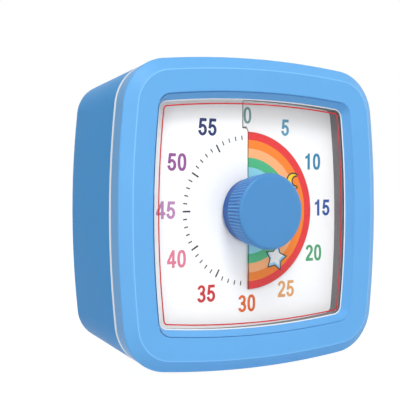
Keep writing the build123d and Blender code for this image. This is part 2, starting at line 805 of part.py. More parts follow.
def rear_casing():
    body = tapered(casing_front_inset, casing_back_inset, casing_front, case_depth)
    body = fillet(body.edges().group_by(Axis.Y)[-1], casing_back_round)
    body -= tapered(casing_front_inset + wall, casing_back_inset + wall, casing_front, casing_inner_back)
    body -= prism(outline(tongue_inset - fit_gap), casing_front, bezel_depth + tongue_length + fit_gap)
    well_front = carrier_back + carrier_boss_length + fit_gap
    for x, z in corners(well_x, well_height):
        body += rod(x, z, well_radius, well_front, casing_inner_back)
    for x, z in corners(well_x, well_height):
        body -= rod(x, z, well_radius - well_wall, well_front + well_floor, case_depth)
        body -= rod(x, z, casing_screw_radius + fit_gap, well_front, case_depth)
    body += bay_box(bay_wall, bay_floor - bay_wall, casing_inner_back)
    body -= bay_box(0, bay_floor, case_depth)
    slot_reach = tab_width / 2 + fit_gap
    slot_middle = cell_height + tab_height
    for side in (-1, 1):
        ends = sorted((side * bay_half_length, side * (bay_half_length - contact_sheet - fit_gap)))
        body -= block(*ends, bay_floor - bay_wall, bay_floor, slot_middle - slot_reach, slot_middle + slot_reach)
    body -= cover_recess()
    for x, z in board_bosses():
        body += rod(x, z, board_boss_radius, board_back, casing_inner_back)
    for x, z in board_bosses():
        body -= rod(x, z, screw_radius + run_gap, board_back, casing_inner_back)
    length, height, recess = switch_recess
    body -= block(switch_x - length / 2, switch_x + length / 2, case_depth - recess, case_depth,
                  switch_z - height / 2, switch_z + height / 2)
    slot = (switch_travel + button_length) / 2 + move_gap
    reach = button_width / 2 + move_gap
    body -= block(switch_x - slot, switch_x + slot, casing_inner_back, case_depth, switch_z - reach, switch_z + reach)
    for number in range(grille_slots):
        z = sounder_z + grille_pitch * (number - (grille_slots - 1) / 2)
        width = 2 * sqrt((grille_pitch * grille_slots / 2) ** 2 - (z - sounder_z) ** 2)
        slot = Pos(sounder_x, z) * SlotOverall(width, grille_width)
        body -= prism(slot, casing_inner_back, case_depth)
    for x, depth in foot_places():
        rise = foot_top(x, depth) - underside
        body -= Pos(x, depth, underside) * Cylinder(foot_radius + fit_gap, 2 * rise)
    return body


def bay_box(margin, front, back):
    """The battery bay's space, grown by a margin on its four sides."""
    reach, rise = bay_half_length + margin, bay_half_height + margin
    return block(-reach, reach, front, back, cell_height - rise, cell_height + rise)


def cover_shape(gap):
    width = 2 * (bay_half_length + cover_margin + gap)
    height = 2 * (bay_half_height + cover_margin + gap)
    return Pos(0, cell_height) * RectangleRounded(width, height, cover_corner + gap)


def cover_recess():
    return prism(cover_shape(cover_gap), cover_front, case_depth)


def battery_cover():
    body = prism(cover_shape(0), cover_front, case_depth)
    rim_width, rim_height = bay_half_length - move_gap, bay_half_height - move_gap
    rim = Rectangle(2 * rim_width, 2 * rim_height)
    rim -= Rectangle(2 * (rim_width - cover_rim_wall), 2 * (rim_height - cover_rim_wall))
    body += prism(Pos(0, cell_height) * rim, cover_front - cover_rim_depth, cover_front)
    for number in range(cover_grooves):
        z = cell_height - cover_groove_low + cover_groove_pitch * number
        body -= prism(Pos(0, z) * SlotOverall(*cover_groove), case_depth - cover_groove_depth, case_depth)
    notch = Pos(0, cell_height + bay_half_height + cover_margin) * Rectangle(*cover_notch)
    return body - prism(notch, case_depth - cover_notch_depth, case_depth)


def lying_rod(x, radius, length):
    """A round bar on the cell's axis, from x to the right."""
    return Pos(x + length / 2, cell_depth, cell_height) * Rot(0, 90, 0) * Cylinder(radius, length)


def battery():
    can = lying_rod(cell_left, cell_radius, cell_length - cell_nub_length)
    can = fillet(can.edges().filter_by(GeomType.CIRCLE), cell_round)
    return can + lying_rod(cell_left + cell_length - cell_nub_length, cell_nub_radius, cell_nub_length)


def negative_spring():
    """A cone of wire between the left end of the bay and the cell."""
    room = spring_length - 2 * spring_wire
    start = contact_sheet + spring_wire - bay_half_length
    steps = spring_turns * spring_corners
    points = []
    for step in range(steps + 1):
        along = room * step / steps
        turn = 2 * pi * step / spring_corners
        radius = spring_radius - along * tan(radians(spring_taper))
        points.append((start + along, cell_depth + radius * sin(turn), cell_height + radius * cos(turn)))
    return bent_wire(points, spring_wire)


def contact_plate(left):
    """A flat contact on an end wall of the bay, with a soldering tab through the bay's floor."""
    reach = contact_size / 2
    right = left + contact_sheet
    plate = block(left, right, cell_depth - reach, cell_depth + reach, cell_height - reach, cell_height + reach)
    bottom = cell_height + tab_height - tab_width / 2
    return plate + block(left, right, tab_front(), cell_depth, bottom, bottom + tab_width)


def tab_front():
    return bay_floor - bay_wall - tab_length


def battery_contacts():
    return [contact_plate(-bay_half_length), contact_plate(bay_half_length - contact_sheet)]


def board_bosses():
    return [(board_left + board_boss_inset, board_top - board_boss_inset),
            (board_right - board_boss_inset, board_bottom + board_boss_inset)]


def circuit_board():
    body = block(board_left, board_right, board_front, board_back, board_bottom, board_top)
    for x, z in board_bosses():
        body -= rod(x, z, screw_radius + fit_gap, board_front, board_back)
    return body


def timer_chip():
    x, z = board_left + chip_x, board_bottom + chip_z
    width, depth, height = chip_size
    back = board_front - fit_gap
    body = block(x - width / 2, x + width / 2, back - depth, back, z - height / 2, z + height / 2)
    for side in (-1, 1):
        middle = x + side * (width / 2 + 0.5)
        for number in range(4):
            pin = z + pin_pitch * (number - 1.5)
            body += block(middle - 0.5, middle + 0.5, back - depth / 2, board_front, pin - 0.2, pin + 0.2)
    return body


def quartz_crystal():
    x, z = board_left + crystal_x, board_bottom + crystal_z
    length, radius = crystal_size
    can = Pos(x, board_front - fit_gap - radius, z) * Rot(0, 90, 0) * Cylinder(radius, length)
    return can + block(x - 1, x + 1, board_front - radius, board_front, z - 0.4, z + 0.4)


def capacitor():
    front = board_front - capacitor_share * board_room
    return rod(board_left + capacitor_x, board_bottom + capacitor_z, capacitor_radius, front, board_front)


def slide_switch():
    length, height, depth = switch_body
    body = block(switch_x - length / 2, switch_x + length / 2, board_back, board_back + depth,
                 switch_z - height / 2, switch_z + height / 2)
    slot = (switch_travel + button_length) / 2 + move_gap
    reach = button_width / 2 - button_waist + move_gap
    body -= block(switch_x - slot, switch_x + slot, board_back + depth - switch_mouth, board_back + depth,
                  switch_z - reach, switch_z + reach)
    return body


def switch_button():
    left = switch_x - switch_travel / 2 - button_length / 2
    stem_front = board_back + switch_body[2] - switch_mouth + move_gap
    half_width = button_width / 2
    stem = block(left, left + button_length, stem_front, casing_inner_back + fit_gap,
                 switch_z - half_width + button_waist, switch_z + half_width - button_waist)
    cap = block(left, left + button_length, casing_inner_back + fit_gap, case_depth - button_below,
                switch_z - half_width, switch_z + half_width)
    for number in range(3):
        x = left + button_length / 2 + 0.8 * (number - 1)
        cap -= block(x - button_groove / 2, x + button_groove / 2, case_depth - button_below - button_groove,
                     case_depth, switch_z - button_width, switch_z + button_width)
    return stem + cap


def sounder_housing():
    front = casing_inner_back - sounder_depth
    body = rod(sounder_x, sounder_z, sounder_radius, front, casing_inner_back)
    shoulder = sounder_radius - sounder_wall
    wall_back = front + sounder_front_wall
    body -= rod(sounder_x, sounder_z, shoulder, front + piezo_seat, casing_inner_back)
    body -= rod(sounder_x, sounder_z, shoulder - sounder_shelf, wall_back, casing_inner_back)
    return body - rod(sounder_x, sounder_z, sounder_hole_radius, front, wall_back)


def piezo_disc():
    front = casing_inner_back - sounder_depth + piezo_seat
    radius = sounder_radius - sounder_wall - fit_gap
    body = rod(sounder_x, sounder_z, radius, front, front + piezo_thickness / 2)
    return body + rod(sounder_x, sounder_z, radius * 0.7, front + piezo_thickness / 2, front + piezo_thickness)


def bent_wire(points, wire):
    """A round wire along runs joined by arcs, each as large as its two runs allow."""
    places = [Vector(point) for point in points]
    radii = []
    for before, corner, after in zip(places, places[1:], places[2:]):
        turn = radians((corner - before).get_angle(after - corner))
        shorter = min((corner - before).length, (after - corner).length)
        radii.append(0.45 * shorter / tan(turn / 2))
    path = FilletPolyline(*points, radius=radii)
    return sweep(Plane(origin=path @ 0, z_dir=path % 0) * Circle(wire), path=path)


def battery_lead(side, *middle):
    """A wire from a contact's tab to its pad on the board."""
    tab = side * (bay_half_length - contact_sheet / 2)
    height = cell_height + tab_height
    start = [(tab, tab_front(), height), (tab, tab_front() - tab_length - wire_radius, height)]
    return bent_wire([*start, *middle], wire_radius)


def sounder_lead(offset, rise):
    """A wire from the sounder to its pad on the board, beside the board's right edge."""
    front = casing_inner_back - sounder_depth
    pad_x, pad_z = board_right - 3, board_top - 8 + rise
    x = sounder_x + offset
    stand = front - pad_stand
    points = [(x, front, sounder_z), (x, stand, sounder_z), (x - 6, stand - 1.5, sounder_z + 2 + rise / 2),
              (pad_x + 5, stand - 1, pad_z - 1), (pad_x, stand, pad_z), (pad_x, board_front, pad_z)]
    return bent_wire(points, wire_radius)


def lead_wires():
    """Wires from the battery's contacts and the sounder to the board, in the space behind the movement."""
    clear = movement_half_width + 3
    level = board_front - pad_stand
    foot = tab_front() - tab_length
    pad_x, pad_z = board_left + 3, board_bottom + 8
    left = battery_lead(-1, (-clear, foot, movement_bottom + 4), (-clear - 0.5, bay_floor, movement_bottom + 12),
                        (pad_x - 1, level - 2, pad_z - 5), (pad_x, level, pad_z), (pad_x, board_front, pad_z))
    pad_x, pad_z = board_right - 5, board_bottom + 10
    right = battery_lead(1, (clear, foot, movement_bottom + 4), (clear, bay_floor + 1, movement_bottom + 10),
                         (clear - 9, level - 1, movement_bottom + 13), (5, level, board_bottom + 1),
                         (pad_x + 4, level - 0.6, pad_z - 2.5), (pad_x, level, pad_z), (pad_x, board_front, pad_z))
    return [left, right, sounder_lead(-2, 0), sounder_lead(2, 4)]


def foot_places():
    return [(side * foot_x, depth) for side in (-1, 1) for depth in (foot_front_depth, foot_back_depth)]


def foot_top(x, depth):
    """Height of the floor of a foot's pocket, in the underside of the casing."""
    draft = (casing_back_inset - casing_front_inset) / (case_depth - casing_front)
    inset = casing_front_inset + draft * (depth + foot_radius - casing_front)
    bow = side_bow - sqrt(side_bow ** 2 - (abs(x) + foot_radius) ** 2)
    return underside + foot_sink + inset + bow


def rubber_foot(x, depth):
    bottom, top = underside - foot_reach, foot_top(x, depth)
    body = Pos(x, depth, (bottom + top) / 2) * Cylinder(foot_radius, top - bottom)
    return chamfer(body.edges().group_by(Axis.Z)[0], foot_chamfer)


# ---------------------------------------------------------------- the pieces, by name

def pieces():
    well_front = carrier_back + carrier_boss_length + fit_gap
    casing_seat = well_front + well_floor
    return {
        "front_bezel": front_bezel(),
        "trim_ring": trim_ring(),
        "rear_casing": rear_casing(),
        "lens": lens(),
        "inner_frame": inner_frame(),
        "dial_plate": dial_plate(),
        "dial_carrier": dial_carrier(),
        "knob": knob(),
        "disc_hub": disc_hub(),
        "time_disc": time_disc(),
        "output_arbor": output_arbor(),
        "clutch_spring": clutch_spring(),
        "arbor_clip": arbor_clip(),
        "output_wheel": output_wheel(),
        "third_wheel": third_wheel(),
        "second_wheel": second_wheel(),
        "first_wheel": first_wheel(),
        "rotor_pinion": rotor_pinion(),
        "rotor_magnet": rotor_magnet(),
        "stator": stator(),
        "coil_core": coil_core(),
        "coil_bobbin": coil_bobbin(),
        "coil_winding": coil_winding(),
        "alarm_cam": alarm_cam(),
        "alarm_leaf": alarm_leaf(),
        "alarm_contact": alarm_contact(),
        "movement_front_case": movement_front_case(),
        "movement_rear_case": movement_rear_case(),
        "movement_screws": [screw(x, z, movement_back, movement_back - carrier_front - screw_tip_gap,
                                  screw_radius, screw_head_radius) for x, z in movement_posts()],
        "carrier_screws": [screw(x, z, carrier_back, carrier_screw_length, screw_radius, screw_head_radius)
                           for x, z in corners(bezel_boss_x, bezel_boss_z)],
        "casing_screws": [screw(x, z, casing_seat, casing_seat - carrier_front - screw_tip_gap,
                                casing_screw_radius, casing_screw_head_radius)
                          for x, z in corners(well_x, well_height)],
        "battery": battery(),
        "negative_spring": negative_spring(),
        "battery_contacts": battery_contacts(),
        "battery_cover": battery_cover(),
        "circuit_board": circuit_board(),
        "timer_chip": timer_chip(),
        "quartz_crystal": quartz_crystal(),
        "capacitor": capacitor(),
        "board_screws": [screw(x, z, board_front, board_screw_length, screw_radius, screw_head_radius,
                               points=1) for x, z in board_bosses()],
        "slide_switch": slide_switch(),
        "switch_button": switch_button(),
        "sounder_housing": sounder_housing(),
        "piezo_disc": piezo_disc(),
        "lead_wires": lead_wires(),
        "rubber_feet": [rubber_foot(x, depth) for x, depth in foot_places()],
    }


# The finished frame: the origin is on the ground under the middle of the timer's depth.
place = Pos(0, (knob_height - case_depth) / 2, foot_reach - underside)

os.makedirs("parts", exist_ok=True)
for name, shape in pieces().items():
    solids = shape if isinstance(shape, list) else [shape]
    placed = [place * solid for solid in solids]
    export_step(placed[0] if len(placed) == 1 else Compound(children=placed), f"parts/{name}.step")
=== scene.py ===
# %% [markdown]
# # A visual countdown timer, finished, printed and lit
#
# The timer is a palm sized desk clock with a blue case, a clear window, a white dial and a
# coloured disc that turns through a slit in the dial. Its solid pieces come from the frame,
# which already has every real size and every moving body. This lesson gives each piece its
# finish, prints the dial and the disc, and lights the timer softly on a pale floor.

# %% Load the frame
import math

import bmesh
import bpy
from mathutils import Euler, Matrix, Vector


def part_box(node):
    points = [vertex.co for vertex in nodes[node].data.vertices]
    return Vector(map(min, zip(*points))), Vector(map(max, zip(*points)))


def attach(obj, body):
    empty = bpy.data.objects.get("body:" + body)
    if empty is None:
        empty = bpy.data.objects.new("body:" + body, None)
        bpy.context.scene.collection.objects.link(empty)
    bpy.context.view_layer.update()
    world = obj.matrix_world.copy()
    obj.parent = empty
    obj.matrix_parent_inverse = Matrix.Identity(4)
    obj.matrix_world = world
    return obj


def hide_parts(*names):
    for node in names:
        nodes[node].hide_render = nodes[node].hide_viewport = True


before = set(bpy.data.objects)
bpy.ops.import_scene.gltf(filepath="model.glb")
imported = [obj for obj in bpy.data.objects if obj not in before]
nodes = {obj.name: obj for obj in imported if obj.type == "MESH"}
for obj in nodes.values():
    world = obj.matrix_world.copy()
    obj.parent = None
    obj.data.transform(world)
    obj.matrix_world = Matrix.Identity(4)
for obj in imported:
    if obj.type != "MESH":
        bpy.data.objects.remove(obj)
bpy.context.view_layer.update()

# %% [markdown]
# Everything is placed from the frame's own boxes, so nothing has to be fitted by eye. The dial
# turns about the Y axis, and the front of each piece is its lowest Y. A millimetre is written
# as MM, because the frame is in metres and the sizes on a clock dial are small.

# %% Measure the frame
MM = 0.001
knob_low, knob_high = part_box("knob")
case_low, case_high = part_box("front_bezel")
lens_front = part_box("lens")[0].y
dial_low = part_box("dial_plate")[0]
disc_low, disc_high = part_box("time_disc")
axis_height = (knob_low.z + knob_high.z) / 2
disc_radius = (disc_high.x - disc_low.x) / 2
half_case = (case_high.x - case_low.x) / 2
case_drop = axis_height - (case_low.z + case_high.z) / 2
print(f"axis {axis_height / MM:.2f} mm up, {case_drop / MM:.2f} mm above the middle of the case")

# %% [markdown]
# The dial's face is a very shallow ramp that comes forward by 1.4 mm in one turn clockwise, as
# the disc does, and that is what lets a slit disc pass through a slit dial. A print on either
# has to follow its ramp, so one function gives the face's Y at any place in the dial's plane.

# %% The dial's ramp
RAMP = 1.4 * MM
DISC_AHEAD = 0.675 * MM          # the disc's face, in front of the dial's
DIAL_FACE = dial_low.y + RAMP    # at 0 minutes


def turn_at(x, z):
    """Share of a turn clockwise from 12 o'clock, from 0 to 1, seen from the front."""
    return (math.atan2(x, z) / (2 * math.pi)) % 1.0


def dial_face(x, z):
    return DIAL_FACE - RAMP * turn_at(x, z)


def disc_face(x, z):
    """The disc's face at rest. Its slit's two edges are at 6 o'clock."""
    share = turn_at(x, z)
    return DIAL_FACE - DISC_AHEAD - RAMP * (share if share < 0.5 else share - 1)


print(f"dial face from {DIAL_FACE / MM:.2f} to {dial_low.y / MM:.2f} mm")

# %% [markdown]
# The camera comes first, because every finish is judged through it. It is a long lens, 0.3 m
# away to the left of the timer and almost level with the dial's middle. A long lens bends the
# timer's straight edges together less than a short one would.

# %% Camera
CAMERA_PLACE = Vector((-0.15764, -0.24688, axis_height + 0.0082))
CAMERA_TURN = math.radians(-31.11)
CAMERA_DIP = math.radians(1.03)
SENSOR = 36.0                    # mm, Blender's own sensor width
PICTURE = 400                    # the picture's width in pixels
FOCAL_PIXELS = 942.5             # the lens's focal length, in the same pixels
NEAREST, FARTHEST = 0.01, 20     # what the camera sees, in metres


def add_object(name, data):
    """Every new thing in the scene needs an object, and a link to the scene's collection."""
    made = bpy.data.objects.new(name, data)
    bpy.context.scene.collection.objects.link(made)
    return made


camera_data = bpy.data.cameras.new("camera")
camera = add_object("camera", camera_data)
camera.location = CAMERA_PLACE
camera.rotation_euler = Euler((math.pi / 2 - CAMERA_DIP, 0, CAMERA_TURN))
camera_data.sensor_width = SENSOR
camera_data.lens = SENSOR * FOCAL_PIXELS / PICTURE
camera_data.clip_start = NEAREST
camera_data.clip_end = FARTHEST
bpy.context.scene.camera = camera
print(f"lens {camera_data.lens:.1f} mm")

# %% [markdown]
# ## Writing finishes as sums
#
# A finish is a small net of nodes. Written as Python sums it stays readable: a Signal holds one
# socket, and adding, multiplying or comparing two signals adds the Math node that does it.

# %% Signals
class Signal:
    """A socket that carries numbers. Python's operators on it add Math nodes."""

    def __init__(self, net, socket):
        self.net = net
        self.socket = socket

    def maths(self, operation, *values):
        return self.net.node("ShaderNodeMath", {"operation": operation}, dict(enumerate(values)))

    def __add__(self, other):
        return self.maths("ADD", self, other)

    def __radd__(self, other):
        return self.maths("ADD", other, self)

    def __sub__(self, other):
        return self.maths("SUBTRACT", self, other)

    def __rsub__(self, other):
        return self.maths("SUBTRACT", other, self)

    def __mul__(self, other):
        return self.maths("MULTIPLY", self, other)

    def __rmul__(self, other):
        return self.maths("MULTIPLY", other, self)

    def __truediv__(self, other):
        return self.maths("DIVIDE", self, other)

    def __rtruediv__(self, other):
        return self.maths("DIVIDE", other, self)

    def __abs__(self):
        return self.maths("ABSOLUTE", self)

    def __gt__(self, other):
        return self.maths("GREATER_THAN", self, other)

    def __lt__(self, other):
        return self.maths("LESS_THAN", self, other)


print("signals ready")

# %% [markdown]
# Every other kind of node comes from one method, which sets the node up and then feeds its
# sockets. A material and the world both have such a tree of nodes, so the method belongs to a
# Net, which is nothing but a tree.

# %% Nets
class Net:
    def __init__(self, tree):
        self.tree = tree

    def feed(self, socket, value):
        if isinstance(value, Signal):
            self.tree.links.new(value.socket, socket)
        else:
            socket.default_value = value

    def node(self, kind, settings=None, values=None, output=0):
        """Adds a node: its settings first, then the values or links of its sockets."""
        made = self.tree.nodes.new(kind)
        for key, value in (settings or {}).items():
            if key == "stops":
                self.set_steps(made.color_ramp, value)
            else:
                setattr(made, key, value)
        for key, value in (values or {}).items():
            self.feed(made.inputs[key], value)
        return Signal(self, made.outputs[output])

    @staticmethod
    def set_steps(ramp, stops):
        ramp.interpolation = "CONSTANT"
        while len(ramp.elements) < len(stops):
            ramp.elements.new(0.5)
        for element, (place, color) in zip(ramp.elements, stops):
            element.position = place
            element.color = (*color, 1)


print("nets ready")

# %% [markdown]
# A Finish is one material. It holds a Principled shader whose plain numbers are set on the
# shader's own sockets, and it offers the few nets that most finishes here share: where a point
# is on its piece, a soft mottling, a second colour laid over the first, and a fine moulded grain
# that is pressed in by a Bump node.

# %% Finishes
class Finish(Net):
    def __init__(self, name, color=(0.8, 0.8, 0.8), roughness=0.5, **numbers):
        self.material = bpy.data.materials.new(name)
        self.material.use_nodes = True
        super().__init__(self.material.node_tree)
        self.output = self.tree.nodes["Material Output"]
        self.shader = self.tree.nodes["Principled BSDF"]
        self.set(**{"Base Color": (*color, 1), "Roughness": roughness})
        self.set(**{key.replace("_", " "): value for key, value in numbers.items()})

    def set(self, **values):
        """Feeds the Principled shader's sockets."""
        for key, value in values.items():
            self.feed(self.shader.inputs[key], value)

    def place(self):
        """A point's place on the piece, in metres, which moves with the piece."""
        return self.node("ShaderNodeTexCoord", output="Object")

    def sides_of_place(self):
        """Three signals: how far right, how far back and how far up a point is."""
        right = self.node("ShaderNodeSeparateXYZ", None, {0: self.place()})
        return [Signal(self, socket) for socket in right.socket.node.outputs]

    def length(self, first, second):
        return self.node("ShaderNodeMath", {"operation": "SQRT"}, {0: first * first + second * second})

    def mottle(self, size, detail=2.0):
        """Soft noise from 0 to 1, whose patches are about a size across."""
        values = {"Vector": self.place(), "Scale": 1 / size, "Detail": detail}
        return self.node("ShaderNodeTexNoise", None, values)

    def mix(self, share, first, second):
        """The first colour where share is 0, and the second where it is 1."""
        return self.node("ShaderNodeMix", {"data_type": "RGBA"}, {0: share, 6: first, 7: second}, 2)

    def cover(self, share, color):
        """Lays a colour over the one that the finish has so far."""
        below = Signal(self, self.shader.inputs["Base Color"].links[0].from_socket)
        self.set(**{"Base Color": self.mix(share, below, (*color, 1))})

    def press(self, height, depth):
        self.set(Normal=self.node("ShaderNodeBump", None, {"Height": height, "Distance": depth}))


print("finishes ready")

# %% [markdown]
# Colours are judged by eye on a screen, where they are squeezed by the display's curve, but a
# shader works with light itself. One helper undoes the curve for a colour given as 0 to 255, and
# the other makes a colour darker or lighter.

# %% Screen colours
def screen(red, green, blue):
    def light(value):
        share = value / 255
        return share / 12.92 if share <= 0.04045 else ((share + 0.055) / 1.055) ** 2.4
    return light(red), light(green), light(blue)


def shade(color, factor):
    return tuple(min(1.0, channel * factor) for channel in color)


print("white is", screen(255, 255, 255))

# %% [markdown]
# Moulded plastic is never one flat colour. The pigment is a little uneven, and the mould leaves
# a satin skin of very fine dimples that breaks up reflections. Cutting the dimples into a mesh
# would take millions of faces, so they are bumps in the finish. One recipe makes all of the
# timer's mouldings, from the glossy trim to the dull inner carrier.

# %% Moulded plastic
PATCH = 14 * MM                  # how wide the pigment's patches are
SATIN_SPREAD = 0.08              # how much the roughness differs between patches


def moulded(name, color, roughness=0.4, grain=0.35 * MM, depth=0.006 * MM, uneven=0.03, **numbers):
    finish = Finish(name, color, roughness, **numbers)
    patches = finish.mottle(PATCH)
    dark = (*shade(color, 1 - uneven), 1)
    light = (*shade(color, 1 + uneven), 1)
    finish.set(**{"Base Color": finish.mix(patches, dark, light)})
    finish.set(Roughness=roughness - SATIN_SPREAD / 2 + patches * SATIN_SPREAD)
    finish.press(finish.mottle(grain, 1.0), depth)
    return finish


CASE_BLUE = screen(101, 167, 223)
# The rear casing is the same plastic as the bezel. Its darker, more saturated blue is painted shade,
# because the case's side stands in shade.
SHADED_SIDE_BLUE = screen(56, 150, 217)
KNOB_BLUE = screen(74, 136, 192)
case_plastic = moulded("case_plastic", CASE_BLUE, 0.36, Specular_IOR_Level=0.1)
casing_plastic_shaded = moulded("casing_plastic_shaded", SHADED_SIDE_BLUE, 0.36, Specular_IOR_Level=0.05)
knob_plastic = moulded("knob_plastic", KNOB_BLUE, 0.38, Specular_IOR_Level=0.25)
trim_plastic = moulded("trim_plastic", screen(236, 242, 246), 0.24)
# The inner frame's dark grey is partly its own grey and partly painted shade for its walls, which stand
# in shade inside the window.
frame_plastic_grey_and_shade = moulded("frame_plastic_grey_and_shade", screen(112, 110, 111), 0.5)
# A light strip that paints the highlight along the pane's edge.
bead_highlight_plastic = moulded("bead_highlight_plastic", screen(238, 240, 242), 0.3)
carrier_plastic = moulded("carrier_plastic", screen(200, 202, 205), 0.5)
print("moulded plastics made")

# %% [markdown]
# Shafts, springs, screws and contacts are steel, brass, copper and nickel. Turned and pressed
# metal has fine lines from the tool. A bump would make them too deep, so a noise that is
# squeezed along one direction only varies the roughness and, a little, the colour.

# %% Metals
LINE_SCALE = 400                 # lines in a metre, before they are squeezed
LINE_SPREAD = 0.16               # how much the roughness differs between lines
LINE_DARK, LINE_LIGHT = 0.92, 1.05


def metal(name, color, roughness=0.3, along=(1, 1, 30)):
    finish = Finish(name, color, roughness, Metallic=1.0)
    squeezed = finish.node("ShaderNodeVectorMath", {"operation": "MULTIPLY"},
                           {0: finish.place(), 1: along})
    values = {"Vector": squeezed, "Scale": LINE_SCALE, "Detail": 3}
    lines = finish.node("ShaderNodeTexNoise", None, values)
    finish.set(Roughness=roughness - LINE_SPREAD / 2 + lines * LINE_SPREAD)
    dark = (*shade(color, LINE_DARK), 1)
    light = (*shade(color, LINE_LIGHT), 1)
    finish.set(**{"Base Color": finish.mix(lines, dark, light)})
    return finish


steel = metal("turned_steel", (0.62, 0.62, 0.64), 0.3)
spring_steel = metal("spring_steel", (0.5, 0.51, 0.54), 0.35)
soft_iron = metal("soft_iron", (0.42, 0.43, 0.46), 0.4)
zinc = metal("zinc_plate", (0.66, 0.67, 0.7), 0.28)
nickel = metal("nickel_plate", (0.74, 0.73, 0.7), 0.22)
brass = metal("brass", (0.78, 0.56, 0.24), 0.3)
copper = metal("copper_winding", (0.72, 0.28, 0.12), 0.34, along=(60, 1, 1))
magnet_finish = metal("sintered_magnet", (0.1, 0.1, 0.11), 0.5)
print("metals made")

# %% [markdown]
# The small mouldings inside, the rubber feet and the sleeves of the wires share the recipe of
# the case, in their own colours. One recipe for all keeps them alike under any light.

# %% Inner plastics
acetal = moulded("acetal", screen(236, 234, 224), 0.42)
movement_plastic = moulded("movement_plastic", screen(222, 224, 227), 0.46)
bobbin_plastic = moulded("bobbin_plastic", (0.02, 0.02, 0.022), 0.45)
chip_plastic = moulded("chip_plastic", (0.012, 0.012, 0.014), 0.5)
sounder_plastic = moulded("sounder_plastic", (0.02, 0.02, 0.024), 0.48)
button_plastic = moulded("button_plastic", (0.018, 0.018, 0.02), 0.42)
foot_rubber = moulded("foot_rubber", (0.035, 0.037, 0.04), 0.8, grain=0.2 * MM, depth=0.02 * MM)
sleeve_plastic = moulded("sleeve_plastic", (0.01, 0.015, 0.035), 0.35)
wire_sleeve = moulded("wire_sleeve", (0.4, 0.02, 0.02), 0.4)
print("inner plastics made")

# %% [markdown]
# The circuit board is green solder mask over copper tracks. The tracks show as slightly lighter
# lanes, which a brick pattern with wide gaps suggests well enough inside a closed case. The
# pattern lies in the plane of X and Y, so the place is turned until it lies on the board.

# %% Circuit board
board = Finish("circuit_board", (0.01, 0.09, 0.035), 0.35)
values = {"Vector": board.place(), "Rotation": (math.pi / 2, 0, 0)}
on_board = board.node("ShaderNodeMapping", None, values)
values = {"Vector": on_board, "Scale": 160.0, "Mortar Size": 0.08, "Brick Width": 0.9,
          "Row Height": 0.3, "Color1": (0.01, 0.1, 0.04, 1), "Color2": (0.014, 0.12, 0.05, 1),
          "Mortar": (0.006, 0.06, 0.025, 1)}
lanes = board.node("ShaderNodeTexBrick", {"offset": 0.5}, values)
board.set(**{"Base Color": lanes})
board.press(board.mottle(0.5 * MM), 0.004 * MM)
print("circuit board made")

# %% [markdown]
# The dry cell is a plain two tone wrap: a dark body and a copper coloured shoulder at its
# positive end, with a bare metal cap. The edges between them are places along the cell, so the X
# coordinate alone decides the colour, and no second mesh is needed.

# %% Dry cell
SHOULDER_SHARE = 0.28            # of the cell's length
BARE_LENGTH = 1.5 * MM
WRAP_DARK, WRAP_COPPER, BARE_METAL = (0.02, 0.022, 0.028), (0.55, 0.3, 0.12), (0.7, 0.7, 0.7)
cell_low, cell_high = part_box("battery")
shoulder = cell_high.x - SHOULDER_SHARE * (cell_high.x - cell_low.x)
cell_wrap = Finish("cell_wrap", WRAP_DARK, 0.25, Coat_Weight=0.4)
along_cell = cell_wrap.sides_of_place()[0]
copper_end = along_cell > shoulder
bare_end = along_cell > cell_high.x - BARE_LENGTH
wrap_color = cell_wrap.mix(copper_end, (*WRAP_DARK, 1), (*WRAP_COPPER, 1))
cell_wrap.set(**{"Base Color": cell_wrap.mix(bare_end, wrap_color, (*BARE_METAL, 1))})
cell_wrap.set(Metallic=copper_end * 0.8)
cell_wrap.set(Roughness=0.22 + cell_wrap.mottle(3 * MM) * 0.1)
print("cell changes colour at", round(shoulder / MM, 1), "mm")

# %% [markdown]
# The dial is a white printed panel. Its marks could be part of this finish, but they are pieces
# of their own here, which keeps their edges sharp. So a paper white with a trace of grain is
# enough.

# %% Dial print
dial_print = moulded("dial_print", screen(252, 252, 252), 0.5, 0.25 * MM, 0.002 * MM, uneven=0.006)
print("dial print made")

# %% [markdown]
# The disc's rings are printed film. Each could be a thin mesh, but a ring is decided by the
# distance from the axis alone, so a stepped colour ramp over that distance gives crisp rings
# without a step in height, and they turn with the disc.

# %% Rings of the disc
RING_STOPS = [
    (0.0, screen(142, 214, 230)),
    (0.55, screen(72, 183, 128)),
    (0.669, screen(253, 178, 120)),
    (0.786, screen(246, 130, 32)),
    (0.896, screen(228, 48, 52)),
    (0.99, screen(186, 36, 44)),
]
disc_print = Finish("disc_print", (0.9, 0.1, 0.1), 0.45)
side, _, height = disc_print.sides_of_place()
distance = disc_print.length(side, height - axis_height)
rings = disc_print.node("ShaderNodeValToRGB", {"stops": RING_STOPS}, {0: distance / disc_radius})
disc_print.set(**{"Base Color": rings})
disc_print.set(Roughness=0.4 + disc_print.mottle(6 * MM) * 0.1)
disc_print.press(disc_print.mottle(0.3 * MM, 1.0), 0.002 * MM)
print("rings:", len(RING_STOPS))

# %% [markdown]
# The window is a flat clear pane. A glass shader would bend light and cast a dark shadow on the
# dial, so the pane is see-through, mixed with a thin gloss that Fresnel makes stronger at a
# slant. The back of the pane has no gloss, or the dial would be veiled twice.

# %% Clear plastic
clear_plastic = Finish("clear_plastic")
gloss = clear_plastic.node("ShaderNodeBsdfGlossy", None, {"Color": (1, 1, 1, 1), "Roughness": 0.03})
clear = clear_plastic.node("ShaderNodeBsdfTransparent", None, {"Color": (1, 1, 1, 1)})
slant = clear_plastic.node("ShaderNodeFresnel", None, {"IOR": 1.2})
inside = clear_plastic.node("ShaderNodeNewGeometry", output="Backfacing")
mixed = clear_plastic.node("ShaderNodeMixShader", None, {0: slant * (1 - inside), 1: clear, 2: gloss})
clear_plastic.feed(clear_plastic.output.inputs["Surface"], mixed)
clear_plastic.tree.nodes.remove(clear_plastic.shader)
print("clear plastic made")

# %% [markdown]
# Each finish goes to its pieces, by a list of who wears what. The frame's meshes are never
# changed: only the material in their slots is.

